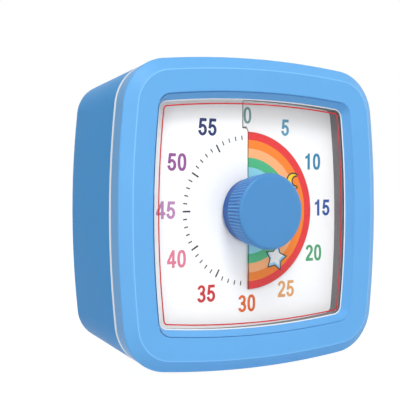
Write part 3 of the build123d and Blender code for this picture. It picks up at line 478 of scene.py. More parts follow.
# %% Dress the frame
WEARERS = [
    (case_plastic, "front_bezel"),
    (casing_plastic_shaded, "rear_casing battery_cover"),
    (knob_plastic, "knob"),
    (trim_plastic, "trim_ring"),
    (frame_plastic_grey_and_shade, "inner_frame"),
    (carrier_plastic, "dial_carrier"),
    (clear_plastic, "lens"),
    (dial_print, "dial_plate"),
    (disc_print, "time_disc"),
    (acetal, "disc_hub output_wheel third_wheel second_wheel first_wheel rotor_pinion alarm_cam"),
    (steel, "output_arbor"),
    (spring_steel, "clutch_spring arbor_clip negative_spring"),
    (soft_iron, "stator coil_core"),
    (zinc, "movement_screws carrier_screws casing_screws board_screws"),
    (nickel, "battery_contacts quartz_crystal slide_switch"),
    (brass, "alarm_leaf alarm_contact piezo_disc"),
    (copper, "coil_winding"),
    (magnet_finish, "rotor_magnet"),
    (movement_plastic, "movement_front_case movement_rear_case"),
    (bobbin_plastic, "coil_bobbin"),
    (chip_plastic, "timer_chip"),
    (sounder_plastic, "sounder_housing"),
    (button_plastic, "switch_button"),
    (foot_rubber, "rubber_feet"),
    (sleeve_plastic, "capacitor"),
    (board, "circuit_board"),
    (cell_wrap, "battery"),
    (wire_sleeve, "lead_wires"),
]


def wear(piece, finish):
    piece.data.materials.clear()
    piece.data.materials.append(finish.material)


for finish, names in WEARERS:
    for name in names.split():
        wear(nodes[name], finish)
dressed = {name for _, names in WEARERS for name in names.split()}
print("dressed", len(dressed), "of", len(nodes), "left:", sorted(set(nodes) - dressed))

# %% [markdown]
# ## Printing on the dial
#
# A real print is a film of ink. An image could paint it, but it would blur close up, so here a
# print is a flat shape with a hair of thickness. Each shape is drawn as closed outlines in the
# dial's plane, filled by Blender's own curve filling, which leaves the hole in a 0 or a 4 open,
# and then laid on the face it belongs to.

# %% Laying prints on a face
PRINT_THICKNESS = 0.03 * MM


def filled(name, contours, thickness=PRINT_THICKNESS, grow=0.0):
    """A flat mesh from closed outlines. An outline inside another cuts a hole."""
    curve = bpy.data.curves.new(name, "CURVE")
    curve.dimensions = "2D"
    curve.fill_mode = "BOTH"
    curve.extrude = thickness / 2
    curve.offset = grow
    for contour in contours:
        line = curve.splines.new("POLY")
        line.points.add(len(contour) - 1)
        for point, (x, y) in zip(line.points, contour):
            point.co = (x, y, 0, 1)
        line.use_cyclic_u = True
    drawing = bpy.data.objects.new(name, curve)
    mesh = bpy.data.meshes.new_from_object(drawing)
    bpy.data.objects.remove(drawing)
    mesh.name = name
    return mesh


def lay_on(mesh, face, x=0.0, z=0.0, lift=0.0, thickness=PRINT_THICKNESS):
    """Moves a flat mesh to a place on the dial or disc, and bends it to that face."""
    for vertex in mesh.vertices:
        side, height = vertex.co.x + x, vertex.co.y + z
        depth = face(side, height) - lift - thickness / 2 - vertex.co.z
        vertex.co = (side, depth, height + axis_height)
    mesh.update()


def add_piece(mesh, finish, body):
    """Puts a mesh in the scene as a named piece that rides on one of the frame's bodies."""
    piece = add_object(mesh.name, mesh)
    wear(piece, finish)
    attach(piece, body)
    return piece


print("prints are", PRINT_THICKNESS / MM, "mm thick")

# %% [markdown]
# Round stretches of a print are worked out as points on arcs. A Bezier curve would need fewer
# points, but with plain points the number of faces stays known.

# %% Arcs
def arc(cx, cy, rx, ry, start, end, steps=14):
    """Points on an ellipse, with angles in degrees from the right, anticlockwise."""
    angles = [math.radians(start + (end - start) * step / steps) for step in range(steps + 1)]
    return [(cx + rx * math.cos(at), cy + ry * math.sin(at)) for at in angles]


def oval(cx, cy, rx, ry, power, steps=40):
    """A rounded oval whose sides are straighter than an ellipse's."""
    def squared(value):
        return math.copysign(abs(value) ** (2 / power), value)
    angles = [math.tau * step / steps for step in range(steps)]
    return [(cx + rx * squared(math.cos(at)), cy + ry * squared(math.sin(at))) for at in angles]


print("arcs ready")

# %% [markdown]
# Ink is nearly flat in colour, but it takes the light a little unevenly where it was rolled on.
# A flat colour would look like paper cut out by a computer, so a faint noise varies it.

# %% Ink
INK_PATCH = 1.2 * MM
INK_UNEVEN = 0.05


def ink(name, color):
    finish = Finish(name, color, 0.45)
    rolled = finish.mottle(INK_PATCH)
    dark = (*shade(color, 1 - INK_UNEVEN), 1)
    light = (*shade(color, 1 + INK_UNEVEN), 1)
    finish.set(**{"Base Color": finish.mix(rolled, dark, light)})
    finish.set(Roughness=0.4 + rolled * 0.12)
    return finish


black_ink = ink("black_ink", (0.012, 0.012, 0.014))
# Dark ink prints the minute marks and also paints the shadow along the slits.
dark_ink_and_shadow = ink("dark_ink_and_shadow", (0.022, 0.022, 0.025))
red_ink = ink("red_ink", screen(200, 30, 38))
print("inks made")

# %% [markdown]
# A mark for each minute rings the dial, with a longer and bolder one every five. The slit takes
# the place of the mark at 12 o'clock, and the one at 6 o'clock is left out too, because the
# disc's edge stands there. All marks of one kind are a single mesh, since none moves on its own.

# %% Minute marks
MARK_OUTER = 22.4 * MM
MARKS = {                        # for bold and plain marks: inner end, width and ink
    True: (19.9 * MM, 0.48 * MM, black_ink),
    False: (21.1 * MM, 0.36 * MM, dark_ink_and_shadow),
}
NO_MARK = (0, 30)


def bar(turn, inner, outer, width):
    """The outline of a mark, a turn clockwise from 12 o'clock."""
    out = Vector((math.sin(turn), math.cos(turn)))
    side = Vector((out.y, -out.x)) * width / 2
    return [out * inner - side, out * inner + side, out * outer + side, out * outer - side]


for bold, (inner, width, finish) in MARKS.items():
    minutes = [minute for minute in range(60) if (minute % 5 == 0) == bold and minute not in NO_MARK]
    bars = [bar(math.tau * minute / 60, inner, MARK_OUTER, width) for minute in minutes]
    mesh = filled("five_minute_marks" if bold else "minute_marks", bars)
    lay_on(mesh, dial_face)
    add_piece(mesh, finish, "casing")
    print(mesh.name, len(bars))

# %% [markdown]
# The dial is cut along one radius, and its left side stands forward there. The cut shows as a thin dark
# line of shadow, in its gap and under its step, with a rounded step above the disc's rim. The disc has
# such an edge too, where its own slit is, at 6 o'clock while 30 minutes are left. The frame's sheets
# have these slits, but a cut through so thin a sheet hardly shows from in front. So a narrow dark strip
# just inside each edge paints that shadow, on the dial and on the disc.

# %% Painted shadow along the slits
EDGE_WIDTH = 0.26 * MM
SLIT_STEP = 1.85 * MM            # how far left the slit runs above its step
STEP_HEIGHT = disc_radius + 1.2 * MM
STEP_ROUND = 1.2 * MM
HUB_EDGE = 5.2 * MM              # where the knob hides the slit
WALL_INSET = 12.2 * MM           # the foot of the frame's wall, on the dial
CUT_SIDE = -0.01 * MM            # keeps the strip on the left side of the slit


def slit_edge(inward):
    """The slit's left edge from the dial's top to its middle, moved inward."""
    top = half_case - case_drop - WALL_INSET
    start, level = -SLIT_STEP - inward, STEP_HEIGHT - inward
    radius = STEP_ROUND - inward
    turned = arc(-STEP_ROUND, STEP_HEIGHT - STEP_ROUND, radius, radius, 90, 0, 8)
    line = [(start, top), (start, level)] + turned + [(-inward, HUB_EDGE)]
    return [(x + CUT_SIDE, z) for x, z in line]


# The strips are painted shadow: dark ink where the slit's gap and step cast shade.
mesh = filled("slit_edge", [slit_edge(0) + slit_edge(EDGE_WIDTH)[::-1]])
lay_on(mesh, dial_face)
add_piece(mesh, dark_ink_and_shadow, "casing")
disc_edge_shadow = [(-CUT_SIDE, -HUB_EDGE), (EDGE_WIDTH, -HUB_EDGE),
             (EDGE_WIDTH, -disc_radius), (-CUT_SIDE, -disc_radius)]
mesh = filled("disc_edge_shadow", [disc_edge_shadow])
lay_on(mesh, disc_face)
add_piece(mesh, dark_ink_and_shadow, "disc")
print("slit edges", EDGE_WIDTH / MM, "mm wide")

# %% [markdown]
# The numerals are narrow and bold. Blender's own letters are too wide, so each figure is drawn
# here as outlines of arcs and straight lines in its own cell, whose sizes are in millimetres.

# %% Figures
FIGURES = {
    "0": [oval(1.375, 2.45, 1.375, 2.5, 2.4), oval(1.375, 2.45, 0.6, 1.75, 2.4)],
    "1": [[(1.2, 0), (2.0, 0), (2.0, 4.95), (1.38, 4.95), (1.24, 4.5), (0.9, 4.2), (0.35, 4.0),
           (0.35, 3.36), (0.8, 3.45), (1.2, 3.62)]],
    "2": [[(0, 0), (2.75, 0), (2.75, 0.78), (1.12, 0.78), (1.5, 1.35), (2.1, 2.05)]
          + arc(1.375, 3.5, 1.34, 1.45, -28, 172) + [(0.78, 3.42)]
          + arc(1.375, 3.5, 0.55, 0.75, 172, -25) + [(1.5, 2.55), (0.45, 1.35), (0.08, 0.7)]],
    "3": [arc(1.34, 3.62, 1.27, 1.33, 172, -40) + arc(1.36, 1.36, 1.4, 1.42, 42, -170)
          + arc(1.36, 1.36, 0.6, 0.7, -165, 90) + [(0.95, 2.1), (0.95, 2.82)]
          + arc(1.34, 3.62, 0.5, 0.66, -80, 168)],
    "4": [[(1.55, 0), (2.3, 0), (2.3, 1.08), (2.82, 1.08), (2.82, 1.82), (2.3, 1.82), (2.3, 4.95),
           (1.55, 4.95), (-0.05, 1.85), (-0.05, 1.08), (1.55, 1.08)],
          [(1.55, 1.82), (0.7, 1.82), (1.55, 3.55)]],
    "5": [[(0.45, 4.9), (2.6, 4.9), (2.6, 4.12), (1.12, 4.12), (0.95, 3.12)]
          + arc(1.33, 1.6, 1.42, 1.65, 103, -172) + arc(1.33, 1.6, 0.62, 0.92, -172, 140)
          + [(0.8, 2.02), (0.1, 2.12)]],
}
FIGURE_HEIGHT = 4.9
FIGURE_WIDTH = 2.75
FIGURE_PITCH = 3.3
print("figures:", " ".join(FIGURES))

# %% [markdown]
# Twelve numerals stand upright round the dial, each in a colour of its own. A numeral is its figures
# side by side, centred on a circle outside the marks and moved a little by its own listed shift, as a
# designer would. The 0 stands across the line where the ramp begins and ends, so it is laid on a level
# face, or the ramp would break it in two.

# %% Numerals
NUMERAL_RADIUS = 28.3            # mm
NUMERAL_SHIFT = (0.1, 0.4)       # mm to the right and up, for all of them
BOLDER = 0.05 * MM               # how far the ink spreads round each figure, but for the 0
INK_DEPTH = 0.86                 # ink on the dial is a little darker than its screen colour


def level_face(x, z):
    return DIAL_FACE


NUMERALS = {                     # colour, then mm to the right and up
    0: ((122, 166, 166), (0.5, -0.2)), 5: ((96, 164, 196), (0.25, 0.3)),
    10: ((36, 138, 180), (0.3, 0.35)), 15: ((42, 86, 166), (0.2, 0.1)),
    20: ((78, 170, 114), (0.65, 0.15)), 25: ((238, 172, 108), (0.25, -0.15)),
    30: ((234, 104, 30), (-0.15, 0.1)), 35: ((208, 38, 42), (-0.3, 0.1)),
    40: ((236, 130, 156), (0.05, 0.25)), 45: ((194, 140, 188), (0.25, 0.1)),
    50: ((150, 80, 150), (0.05, -0.35)), 55: ((10, 40, 104), (-0.15, -0.4)),
}
for minute, (color, (right, up)) in NUMERALS.items():
    text = str(minute)
    width = FIGURE_WIDTH + FIGURE_PITCH * (len(text) - 1)
    contours = []
    for place, figure in enumerate(text):
        left = FIGURE_PITCH * place - width / 2
        for contour in FIGURES[figure]:
            contours.append([((left + x) * MM, (y - FIGURE_HEIGHT / 2) * MM) for x, y in contour])
    turn = math.tau * minute / 60
    x = NUMERAL_RADIUS * math.sin(turn) + NUMERAL_SHIFT[0] + right
    z = NUMERAL_RADIUS * math.cos(turn) + NUMERAL_SHIFT[1] + up
    mesh = filled(f"numeral_{minute}", contours, grow=BOLDER if minute else 0.0)
    lay_on(mesh, dial_face if minute else level_face, x * MM, z * MM)
    numeral_ink = ink(f"numeral_ink_{minute}", shade(screen(*color), INK_DEPTH))
    add_piece(mesh, numeral_ink, "casing")
print("numerals:", len(NUMERALS))

# %% [markdown]
# ## The window
#
# The case's outline is a rounded square with bowed sides: four arcs of a big circle, joined by
# four of a small one. Every edge on the front is that outline set in by some distance, so one
# function that draws the arcs with smaller radii serves them all. The middle of the outline
# lies a little below the dial's axis.

# %% Outline of the case
SIDE_BOW = 282 * MM              # radius of the sides
CASE_CORNER = 14.1 * MM          # radius of the corners
SIDE_CENTRE = half_case - SIDE_BOW
REACH = SIDE_BOW - CASE_CORNER   # between the centres of a side and of its corner
CORNER_CENTRE = (SIDE_CENTRE + math.sqrt(2 * REACH ** 2 - SIDE_CENTRE ** 2)) / 2


def outline(inset, steps=24):
    """Points of the case's outline, set in by a distance."""
    side_angle = math.atan2(CORNER_CENTRE, CORNER_CENTRE - SIDE_CENTRE)
    corner_angle = math.pi / 2 - 2 * side_angle
    quarter = []
    for step in range(steps):
        at = side_angle * (2 * step / steps - 1)
        radius = SIDE_BOW - inset
        quarter.append((SIDE_CENTRE + radius * math.cos(at), radius * math.sin(at)))
    for step in range(steps):
        at = side_angle + corner_angle * step / steps
        radius = CASE_CORNER - inset
        quarter.append((CORNER_CENTRE + radius * math.cos(at), CORNER_CENTRE + radius * math.sin(at)))
    points = []
    for along, across in ((1, 0), (0, 1), (-1, 0), (0, -1)):
        points += [(x * along - z * across, x * across + z * along - case_drop) for x, z in quarter]
    return points


print("outline has", len(outline(0)), "points")

# %% [markdown]
# A painted highlight runs along the crease between the bezel's bevel and its face: a lighter blue
# stands in for the light that the rounded crease catches. The frame's mesh stays as it is, so the
# finish has to find the crease. It works out how far any point is set in from the outline: near a side
# by the side's big arc, and in a corner by the corner's small one. One eighth of the outline is enough,
# since all are alike.

# %% Painted highlight on the bezel's crease
CREASE_INSET = 3.4 * MM
CREASE_WIDTH = 0.3 * MM
CREASE_DEPTH = 1.0 * MM          # the front of the case only
CREASE_HIGHLIGHT_BLUE = screen(140, 200, 250)
CREASE_HIGHLIGHT_SHARE = 0.6


def inset_of(finish, side, height):
    """A signal with a point's distance from the case's outline."""
    across, upward = abs(side), abs(height)
    longer = finish.node("ShaderNodeMath", {"operation": "MAXIMUM"}, {0: across, 1: upward})
    shorter = finish.node("ShaderNodeMath", {"operation": "MINIMUM"}, {0: across, 1: upward})
    by_side = SIDE_BOW - finish.length(longer - SIDE_CENTRE, shorter)
    by_corner = CASE_CORNER - finish.length(longer - CORNER_CENTRE, shorter - CORNER_CENTRE)
    in_corner = shorter * (CORNER_CENTRE - SIDE_CENTRE) > (longer - SIDE_CENTRE) * CORNER_CENTRE
    return by_side + (by_corner - by_side) * in_corner


side, depth, height = case_plastic.sides_of_place()
inset = inset_of(case_plastic, side, height - (axis_height - case_drop))
on_front = depth < case_low.y + CREASE_DEPTH
# Painted highlight: a lighter blue laid on a thin band along the crease.
crease_highlight = (abs(inset - CREASE_INSET) < CREASE_WIDTH / 2) * on_front
case_plastic.cover(crease_highlight * CREASE_HIGHLIGHT_SHARE, CREASE_HIGHLIGHT_BLUE)
print("crease_highlight", CREASE_WIDTH / MM, "mm wide")

# %% [markdown]
# The pane takes the place of the frame's solid lens. It is a little thinner, so that its back
# doesn't lie in one plane with the front of the grey wall behind it, which would look patchy,
# and its hole clears the neck of the knob. It is a flat shape with thickness, as the prints are.

# %% Window pane
PANE_INSET = 9.7 * MM
PANE_BORE = 9.85 * MM
BORE_STEPS = 96
PANE_THICKNESS = 0.9 * MM


def pane_face(x, z):
    return lens_front


bore = arc(0, 0, PANE_BORE, PANE_BORE, 0, 360, BORE_STEPS)[:-1]
mesh = filled("window_pane", [outline(PANE_INSET), bore], PANE_THICKNESS)
lay_on(mesh, pane_face, lift=-PANE_THICKNESS, thickness=PANE_THICKNESS)
pane = add_piece(mesh, clear_plastic, "casing")
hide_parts("lens")
print("pane", PANE_THICKNESS / MM, "mm thick")

# %% [markdown]
# A blue surround is pressed into the bezel's window, and a thin seam shows between the two. Its
# wall slopes from the face down to the pane. The opening it leaves is a little lower than it is
# wide, so a loop can be flattened about the middle of the case. Four loops, each an outline at
# its own depth, make the whole ring, which is simpler than cutting it from a block.

# %% Window surround
SEAM = 0.17 * MM
LIP_INSET = 9.95 * MM            # where the bezel's window begins, on its face
WINDOW_INSET = 11.15 * MM        # where it ends, on the pane
FACE_DISH = 0.4 * MM             # how far the face falls from its crease to the window
SURROUND_INSET = 11.3 * MM
SURROUND_FLAT = 0.987
SURROUND_LAND = 0.1 * MM         # how far its foot goes under the bezel's wall
SURROUND_BACK = 0.05 * MM        # how far its front edge lies behind the face
PANE_GAP = 0.02 * MM


def flattened(points, share):
    return [(x, (z + case_drop) * share - case_drop) for x, z in points]


def bridge(shape, first, second):
    """Joins two loops of vertices by faces."""
    for step, start in enumerate(first):
        after = (step + 1) % len(first)
        shape.faces.new((start, first[after], second[after], second[step]))


def mesh_of(shape, name, sharp_from):
    """Ends a bmesh. Its faces look outward, and bends over an angle in degrees stay sharp."""
    bmesh.ops.recalc_face_normals(shape, faces=shape.faces)
    mesh = bpy.data.meshes.new(name)
    shape.to_mesh(mesh)
    shape.free()
    mesh.shade_smooth()
    mesh.set_sharp_from_angle(angle=math.radians(sharp_from))
    return mesh


def ring_piece(name, loops):
    """A closed ring: each loop is an outline and its Y, and the last one joins the first."""
    shape = bmesh.new()
    rings = []
    for points, depth in loops:
        rings.append([shape.verts.new((x, depth, z + axis_height)) for x, z in points])
    for first, second in zip(rings, rings[1:] + rings[:1]):
        bridge(shape, first, second)
    return mesh_of(shape, name, 30)


lip_face = case_low.y + FACE_DISH
foot = lens_front - PANE_GAP
wall_slope = (lens_front - lip_face) / (WINDOW_INSET - LIP_INSET)
front_loop = outline(LIP_INSET + SEAM)
mesh = ring_piece("window_surround", [
    (front_loop, lip_face + SURROUND_BACK),
    (flattened(outline(SURROUND_INSET), SURROUND_FLAT), foot),
    (outline(SURROUND_INSET - SURROUND_LAND), foot),
    (front_loop, lip_face + (SEAM - SURROUND_BACK) * wall_slope)])
add_piece(mesh, case_plastic, "casing")
print(f"surround {(foot - lip_face) / MM:.2f} mm deep")

# %% [markdown]
# The pane's edge is seen as a thin light line all round inside the surround, where light gathers in
# real clear plastic. A see-through shader can't do that, so the line is a painted highlight: a light
# piece of its own, laid on the pane.

# %% Painted highlight of the pane's edge
BEAD_WIDTH = 0.36 * MM
BEAD_THICKNESS = 0.12 * MM
bead = [flattened(outline(SURROUND_INSET + inset), SURROUND_FLAT) for inset in (0, BEAD_WIDTH)]
mesh = filled("window_bead_highlight", bead, BEAD_THICKNESS)
lay_on(mesh, pane_face, thickness=BEAD_THICKNESS)
add_piece(mesh, bead_highlight_plastic, "casing")
print("bead", BEAD_WIDTH / MM, "mm wide")

# %% [markdown]
# A thin red line is printed on the front of the pane, nearly parallel to its edge. It is the
# space between two outlines, so the same filling makes it.

# %% Red line on the window
LINE_INSET = 12.95 * MM
LINE_WIDTH = 0.4 * MM
LINE_FLAT = 0.992                # the line's square is a little lower than it is wide
line = [flattened(outline(LINE_INSET + side * LINE_WIDTH / 2), LINE_FLAT) for side in (-1, 1)]
mesh = filled("window_line", line)
lay_on(mesh, pane_face)
add_piece(mesh, red_ink, "casing")
print("window line", LINE_WIDTH / MM, "mm wide")

# %% [markdown]
# ## The knob
#
# The knob is a moulded cap with shallow flutes for the fingers. The frame's knob has straight
# grooves, while real flutes are soft waves that die out at the rounded front edge. So the knob
# is turned as on a lathe: a profile goes round the axis, and the drum's radius waves as it goes.
# The profile runs from the middle of the face over the drum to the hollow behind. Each of its
# points is a radius, a depth behind the crown, and how deep the flutes are there, from 0 to 1.

# %% Knob profile
KNOB_AHEAD = 1.3 * MM            # the crown stands this far in front of the plain solid's
KNOB_DEPTH = knob_high.y - knob_low.y + KNOB_AHEAD
DRUM_DEPTH = 7.7 * MM
DRUM_REAR = 10.35 * MM           # the drum's radius at its rear
NECK_RADIUS = 9.6 * MM
NECK_ROUND = 0.3 * MM
NECK_HOLLOW = 7.5 * MM
CAP_THICKNESS = 3.3 * MM
BOSS_RADIUS = 3.6 * MM
BOSS_DEPTH = 11.1 * MM
BOSS_BORE = 2.0 * MM
FRONT_ROUND = 1.15 * MM
FRONT_CROWN = 0.12 * MM          # how far the face falls towards its edge
ROUND_STEPS = 6
FACE_SHARES = (0.3, 0.6, 0.8, 0.92, 1.0)
DRUM_FLUTES = ((0.08, 0.8), (0.16, 1.0), (0.4, 1.0), (0.7, 1.0), (0.97, 1.0), (1.0, 0.9))
knob_radius = (knob_high.x - knob_low.x) / 2
face_edge = knob_radius - FRONT_ROUND

profile = [(face_edge * share, FRONT_CROWN * share ** 2, 0.0) for share in FACE_SHARES]
for step in range(1, ROUND_STEPS + 1):
    at = math.pi / 2 * step / ROUND_STEPS
    flute = max(0.0, step / ROUND_STEPS - 0.5)
    round_end = FRONT_CROWN + FRONT_ROUND * (1 - math.cos(at))
    profile.append((face_edge + FRONT_ROUND * math.sin(at), round_end, flute))
for share, flute in DRUM_FLUTES:
    radius = knob_radius + (DRUM_REAR - knob_radius) * share
    profile.append((radius, round_end + (DRUM_DEPTH - round_end) * share, flute))
behind_drum = [
    (NECK_RADIUS + NECK_ROUND, DRUM_DEPTH), (NECK_RADIUS, DRUM_DEPTH + NECK_ROUND),
    (NECK_RADIUS, KNOB_DEPTH), (NECK_HOLLOW, KNOB_DEPTH), (NECK_HOLLOW, CAP_THICKNESS),
    (BOSS_RADIUS, CAP_THICKNESS), (BOSS_RADIUS, BOSS_DEPTH), (BOSS_BORE, BOSS_DEPTH),
    (BOSS_BORE, CAP_THICKNESS)]
profile += [(radius, depth, 0.0) for radius, depth in behind_drum]
print("knob profile has", len(profile), "points")

# %% [markdown]
# Every point of the profile becomes a ring of vertices. Neighbouring rings are joined by
# faces, and the first and last ring are closed to a point on the axis. Ten steps to a flute are
# enough for a round wave. A wide limit for sharp bends keeps the flutes smooth, and the drum's
# rear edge crisp.

# %% Turned knob
FLUTES = 66
STEPS_PER_FLUTE = 10
FLUTE_DEPTH = 0.34 * MM
SHARP_BEND = 50                  # degrees
knob_front = knob_low.y - KNOB_AHEAD


def fluted_ring(shape, radius, depth, flute):
    """A ring of vertices, drawn in by the flutes. It begins on a rib, at the top."""
    around = FLUTES * STEPS_PER_FLUTE
    ring = []
    for step in range(around):
        at = math.tau * step / around
        groove = 0.5 - 0.5 * math.cos(FLUTES * at)
        reach = radius - FLUTE_DEPTH * flute * groove
        place = (reach * math.sin(at), knob_front + depth, axis_height + reach * math.cos(at))
        ring.append(shape.verts.new(place))
    return ring


def turned_piece(name, profile):
    shape = bmesh.new()
    rings = [fluted_ring(shape, *point) for point in profile]
    for first, second in zip(rings, rings[1:]):
        bridge(shape, first, second)
    for ring, depth in ((rings[0], 0.0), (rings[-1], profile[-1][1])):
        pole = shape.verts.new((0, knob_front + depth, axis_height))
        for start, after in zip(ring, ring[1:] + ring[:1]):
            shape.faces.new((pole, start, after))
    return mesh_of(shape, name, SHARP_BEND)


mesh = turned_piece("fluted_knob", profile)
knob = add_piece(mesh, knob_plastic, "knob")
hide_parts("knob")
print("knob has", FLUTES, "flutes and", len(mesh.polygons), "faces")

# %% [markdown]
# The ribs get a painted highlight, and the grooves between them and the neck behind the drum get
# painted shade, where light would catch the ribs and miss the grooves and the neck. The angle round the
# axis tells a rib from a groove, so the same wave that shaped the flutes also shades them, only on the
# drum.

# %% Painted shade and highlight of the flutes
RIB_HIGHLIGHT_SHARE, RIB_HIGHLIGHT_BLUE = 0.45, screen(84, 172, 238)
GROOVE_SHADE_SHARE, GROOVE_SHADE_BLUE = 0.6, screen(0, 88, 176)
NECK_SHADE_SHARE, NECK_SHADE_BLUE = 0.95, screen(0, 80, 160)
RIB_START = 0.1                  # of the wave, which is 1 on a rib and -1 in a groove
DRUM_START = 0.7 * FRONT_ROUND   # behind the crown
SHADE_GAP = 0.1 * MM             # keeps the shade of the neck off the drum
side, depth, height = knob_plastic.sides_of_place()
height = height - axis_height
turn = knob_plastic.node("ShaderNodeMath", {"operation": "ARCTAN2"}, {0: side, 1: height})
wave = knob_plastic.node("ShaderNodeMath", {"operation": "COSINE"}, {0: turn * FLUTES})
from_axis = knob_plastic.length(side, height)
on_drum = (depth > knob_front + DRUM_START) * (from_axis > NECK_RADIUS + SHADE_GAP)
on_neck = (depth > knob_front + DRUM_DEPTH + SHADE_GAP) * (from_axis < NECK_RADIUS + SHADE_GAP)
# Painted highlight on the ribs, painted shade in the grooves and on the neck.
knob_plastic.cover(on_drum * (wave > RIB_START) * RIB_HIGHLIGHT_SHARE, RIB_HIGHLIGHT_BLUE)
knob_plastic.cover(on_drum * (0.5 - wave * 0.5) * GROOVE_SHADE_SHARE, GROOVE_SHADE_BLUE)
knob_plastic.cover(on_neck * NECK_SHADE_SHARE, NECK_SHADE_BLUE)
print(f"drum shaded from {DRUM_START / MM:.2f} mm behind the crown")

# %% [markdown]
# ## Pictures on the disc
#
# The disc carries two small plain pictures over its rings: a white five pointed star with a
# pale blue shade, and a little yellow moon. Each has a dark outline, which is printed first as a
# whole shape. The lighter shapes lie a hair in front of it, one layer each, so that no two of
# them share a plane.

# %% Star and moon
STAR_POINTS = 5
STAR_TILT = math.radians(12)
MOON_OPENING = 48                # degrees from the right to each tip


def star(cx, cy, outer, inner):
    corners = []
    for step in range(2 * STAR_POINTS):
        at = STAR_TILT + math.pi * step / STAR_POINTS
        radius = inner if step % 2 else outer
        corners.append((cx + radius * math.sin(at), cy + radius * math.cos(at)))
    return corners


def moon(radius, bite, offset):
    """A crescent: most of a circle, with a bite taken from its right."""
    tip_x = radius * math.cos(math.radians(MOON_OPENING))
    tip_y = radius * math.sin(math.radians(MOON_OPENING))
    rim = arc(0, 0, radius, radius, MOON_OPENING, 360 - MOON_OPENING, 28)
    bite_end = math.degrees(math.atan2(tip_y, tip_x - offset))
    return rim + arc(offset, 0, bite, bite, 360 - bite_end, bite_end, 20)[1:-1]


print("star and moon can be drawn")

# %% Pictures
PICTURE_INKS = {
    "outline": ink("picture_outline", screen(22, 26, 38)),
    "white": ink("picture_white", screen(250, 252, 253)),
    "pale": ink("picture_pale", screen(158, 214, 238)),
    "yellow": ink("picture_yellow", screen(255, 208, 20)),
}
STAR_PLACE = (10.2, -14.6)       # mm to the right of the axis and above it
MOON_PLACE = (17.0, 8.8)
LAYERS = [                       # in mm, and numbered from the disc outward
    ("star_outline", "outline", star(0, 0, 4.3, 2.35), STAR_PLACE, 0),
    ("star_shade", "pale", star(0, 0, 3.6, 1.95), STAR_PLACE, 1),
    ("star_light", "white", star(-0.15, 0.4, 2.95, 1.65), STAR_PLACE, 2),
    ("moon_outline", "outline", moon(2.65, 1.3, 1.05), MOON_PLACE, 0),
    ("moon_light", "yellow", moon(2.2, 1.75, 1.05), MOON_PLACE, 1),
]
for name, color, contour, (right, up), layer in LAYERS:
    mesh = filled(name, [[(x * MM, y * MM) for x, y in contour]])
    lay_on(mesh, disc_face, right * MM, up * MM, layer * PRINT_THICKNESS)
    add_piece(mesh, PICTURE_INKS[color], "disc")
print("layers of the two pictures:", len(LAYERS))

# %% [markdown]
# ## Floor and light
#
# The timer stands in a plain white studio, which should look white without flooding the timer
# with light. A Light Path node tells which ray is asking. The camera's rays see white, and so do
# those that gloss or glass passes on, while the rays that light the timer meet a dimmer room.

# %% Rays that see the background
def seen_rays(net):
    """A signal that is 1 for the camera's rays, and for those that gloss or glass passes on."""
    seen = net.node("ShaderNodeLightPath", output="Is Camera Ray")
    kinds = seen.socket.node.outputs
    for kind in ("Is Glossy Ray", "Is Transmission Ray"):
        other = Signal(net, kinds[kind])
        seen = net.node("ShaderNodeMath", {"operation": "MAXIMUM"}, {0: seen, 1: other})
    return seen


print("background rays ready")

# %% [markdown]
# The floor is one large square. It could glow fully for those rays, but then it would lose the
# timer's soft shadow, so a fifth of it stays a plain matt surface.

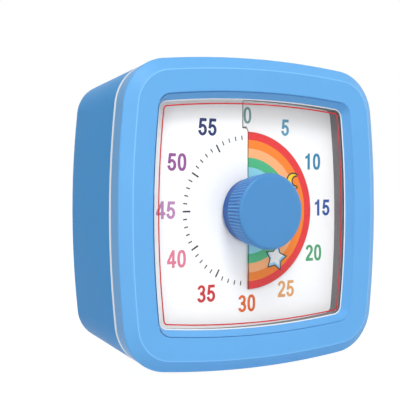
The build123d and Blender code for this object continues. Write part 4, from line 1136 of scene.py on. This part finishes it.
# %% Floor
FLOOR_REACH = 4.0                # metres each way
GLOW = 1.22                      # fills up what the glow's share leaves dark
GLOW_SHARE = 0.8
floor_mesh = bpy.data.meshes.new("floor")
floor_corners = [(-FLOOR_REACH, -FLOOR_REACH, 0), (FLOOR_REACH, -FLOOR_REACH, 0),
                 (FLOOR_REACH, FLOOR_REACH, 0), (-FLOOR_REACH, FLOOR_REACH, 0)]
floor_mesh.from_pydata(floor_corners, [], [(0, 1, 2, 3)])
floor = add_object("floor", floor_mesh)
floor_finish = Finish("floor_white", (0.9, 0.9, 0.9), 0.9, Specular_IOR_Level=0.0)
seen = seen_rays(floor_finish)
glow = floor_finish.node("ShaderNodeEmission", None, {"Color": (1, 1, 1, 1), "Strength": GLOW})
matt = Signal(floor_finish, floor_finish.shader.outputs[0])
mixed = floor_finish.node("ShaderNodeMixShader", None, {0: seen * GLOW_SHARE, 1: matt, 2: glow})
floor_finish.feed(floor_finish.output.inputs["Surface"], mixed)
wear(floor, floor_finish)
print("floor", 2 * FLOOR_REACH, "m across")

# %% [markdown]
# The world gives an even fill from all round. What the camera, gloss or a clear pane sees of it
# is plain white, and what lights the timer is dimmer. One sum turns the 0 or 1 of the rays into
# those two strengths.

# %% World
WORLD_FILL = 0.3
world = bpy.data.worlds.new("studio")
bpy.context.scene.world = world
world.use_nodes = True
room = Net(world.node_tree)
background = room.tree.nodes["Background"]
room.feed(background.inputs["Color"], (1, 1, 1, 1))
room.feed(background.inputs["Strength"], WORLD_FILL + seen_rays(room) * (1 - WORLD_FILL))
print("world fill", WORLD_FILL)

# %% [markdown]
# A soft lamp high in front, a little to the left, is the main light. It leaves the side of the
# case in shade and drops a soft shadow from the window's top edge on to the dial. A weaker and
# larger one, low on the left where the timer is looked at from, lightens the shade of the knob,
# and a third one on the right lightens only the bevel there. Area lamps are used, because a
# point lamp would cast hard shadows on the dial.

# %% Lamps
LAMP_DISTANCE = 0.85


def add_lamp(name, azimuth, elevation, size, power):
    """An area lamp, placed by its direction from the timer: azimuth 0 is straight in front."""
    side, rise = math.radians(azimuth), math.radians(elevation)
    toward = Vector((math.sin(side) * math.cos(rise), -math.cos(side) * math.cos(rise), math.sin(rise)))
    lamp_data = bpy.data.lights.new(name, "AREA")
    lamp_data.size = size
    lamp_data.energy = power
    lamp = add_object(name, lamp_data)
    lamp.location = Vector((0, 0, axis_height)) + toward * LAMP_DISTANCE
    lamp.rotation_euler = (-toward).to_track_quat("-Z", "Y").to_euler()
    print(name, power, "W")


add_lamp("main_lamp", azimuth=-20, elevation=48, size=0.36, power=4.7)
add_lamp("front_lamp", azimuth=-36, elevation=8, size=0.5, power=2.0)
add_lamp("right_lamp", azimuth=78, elevation=14, size=0.5, power=1.5)

# %% [markdown]
# Colours are shown as they are, with no filmic curve.

# %% Hand over
bpy.context.scene.view_settings.view_transform = "Standard"
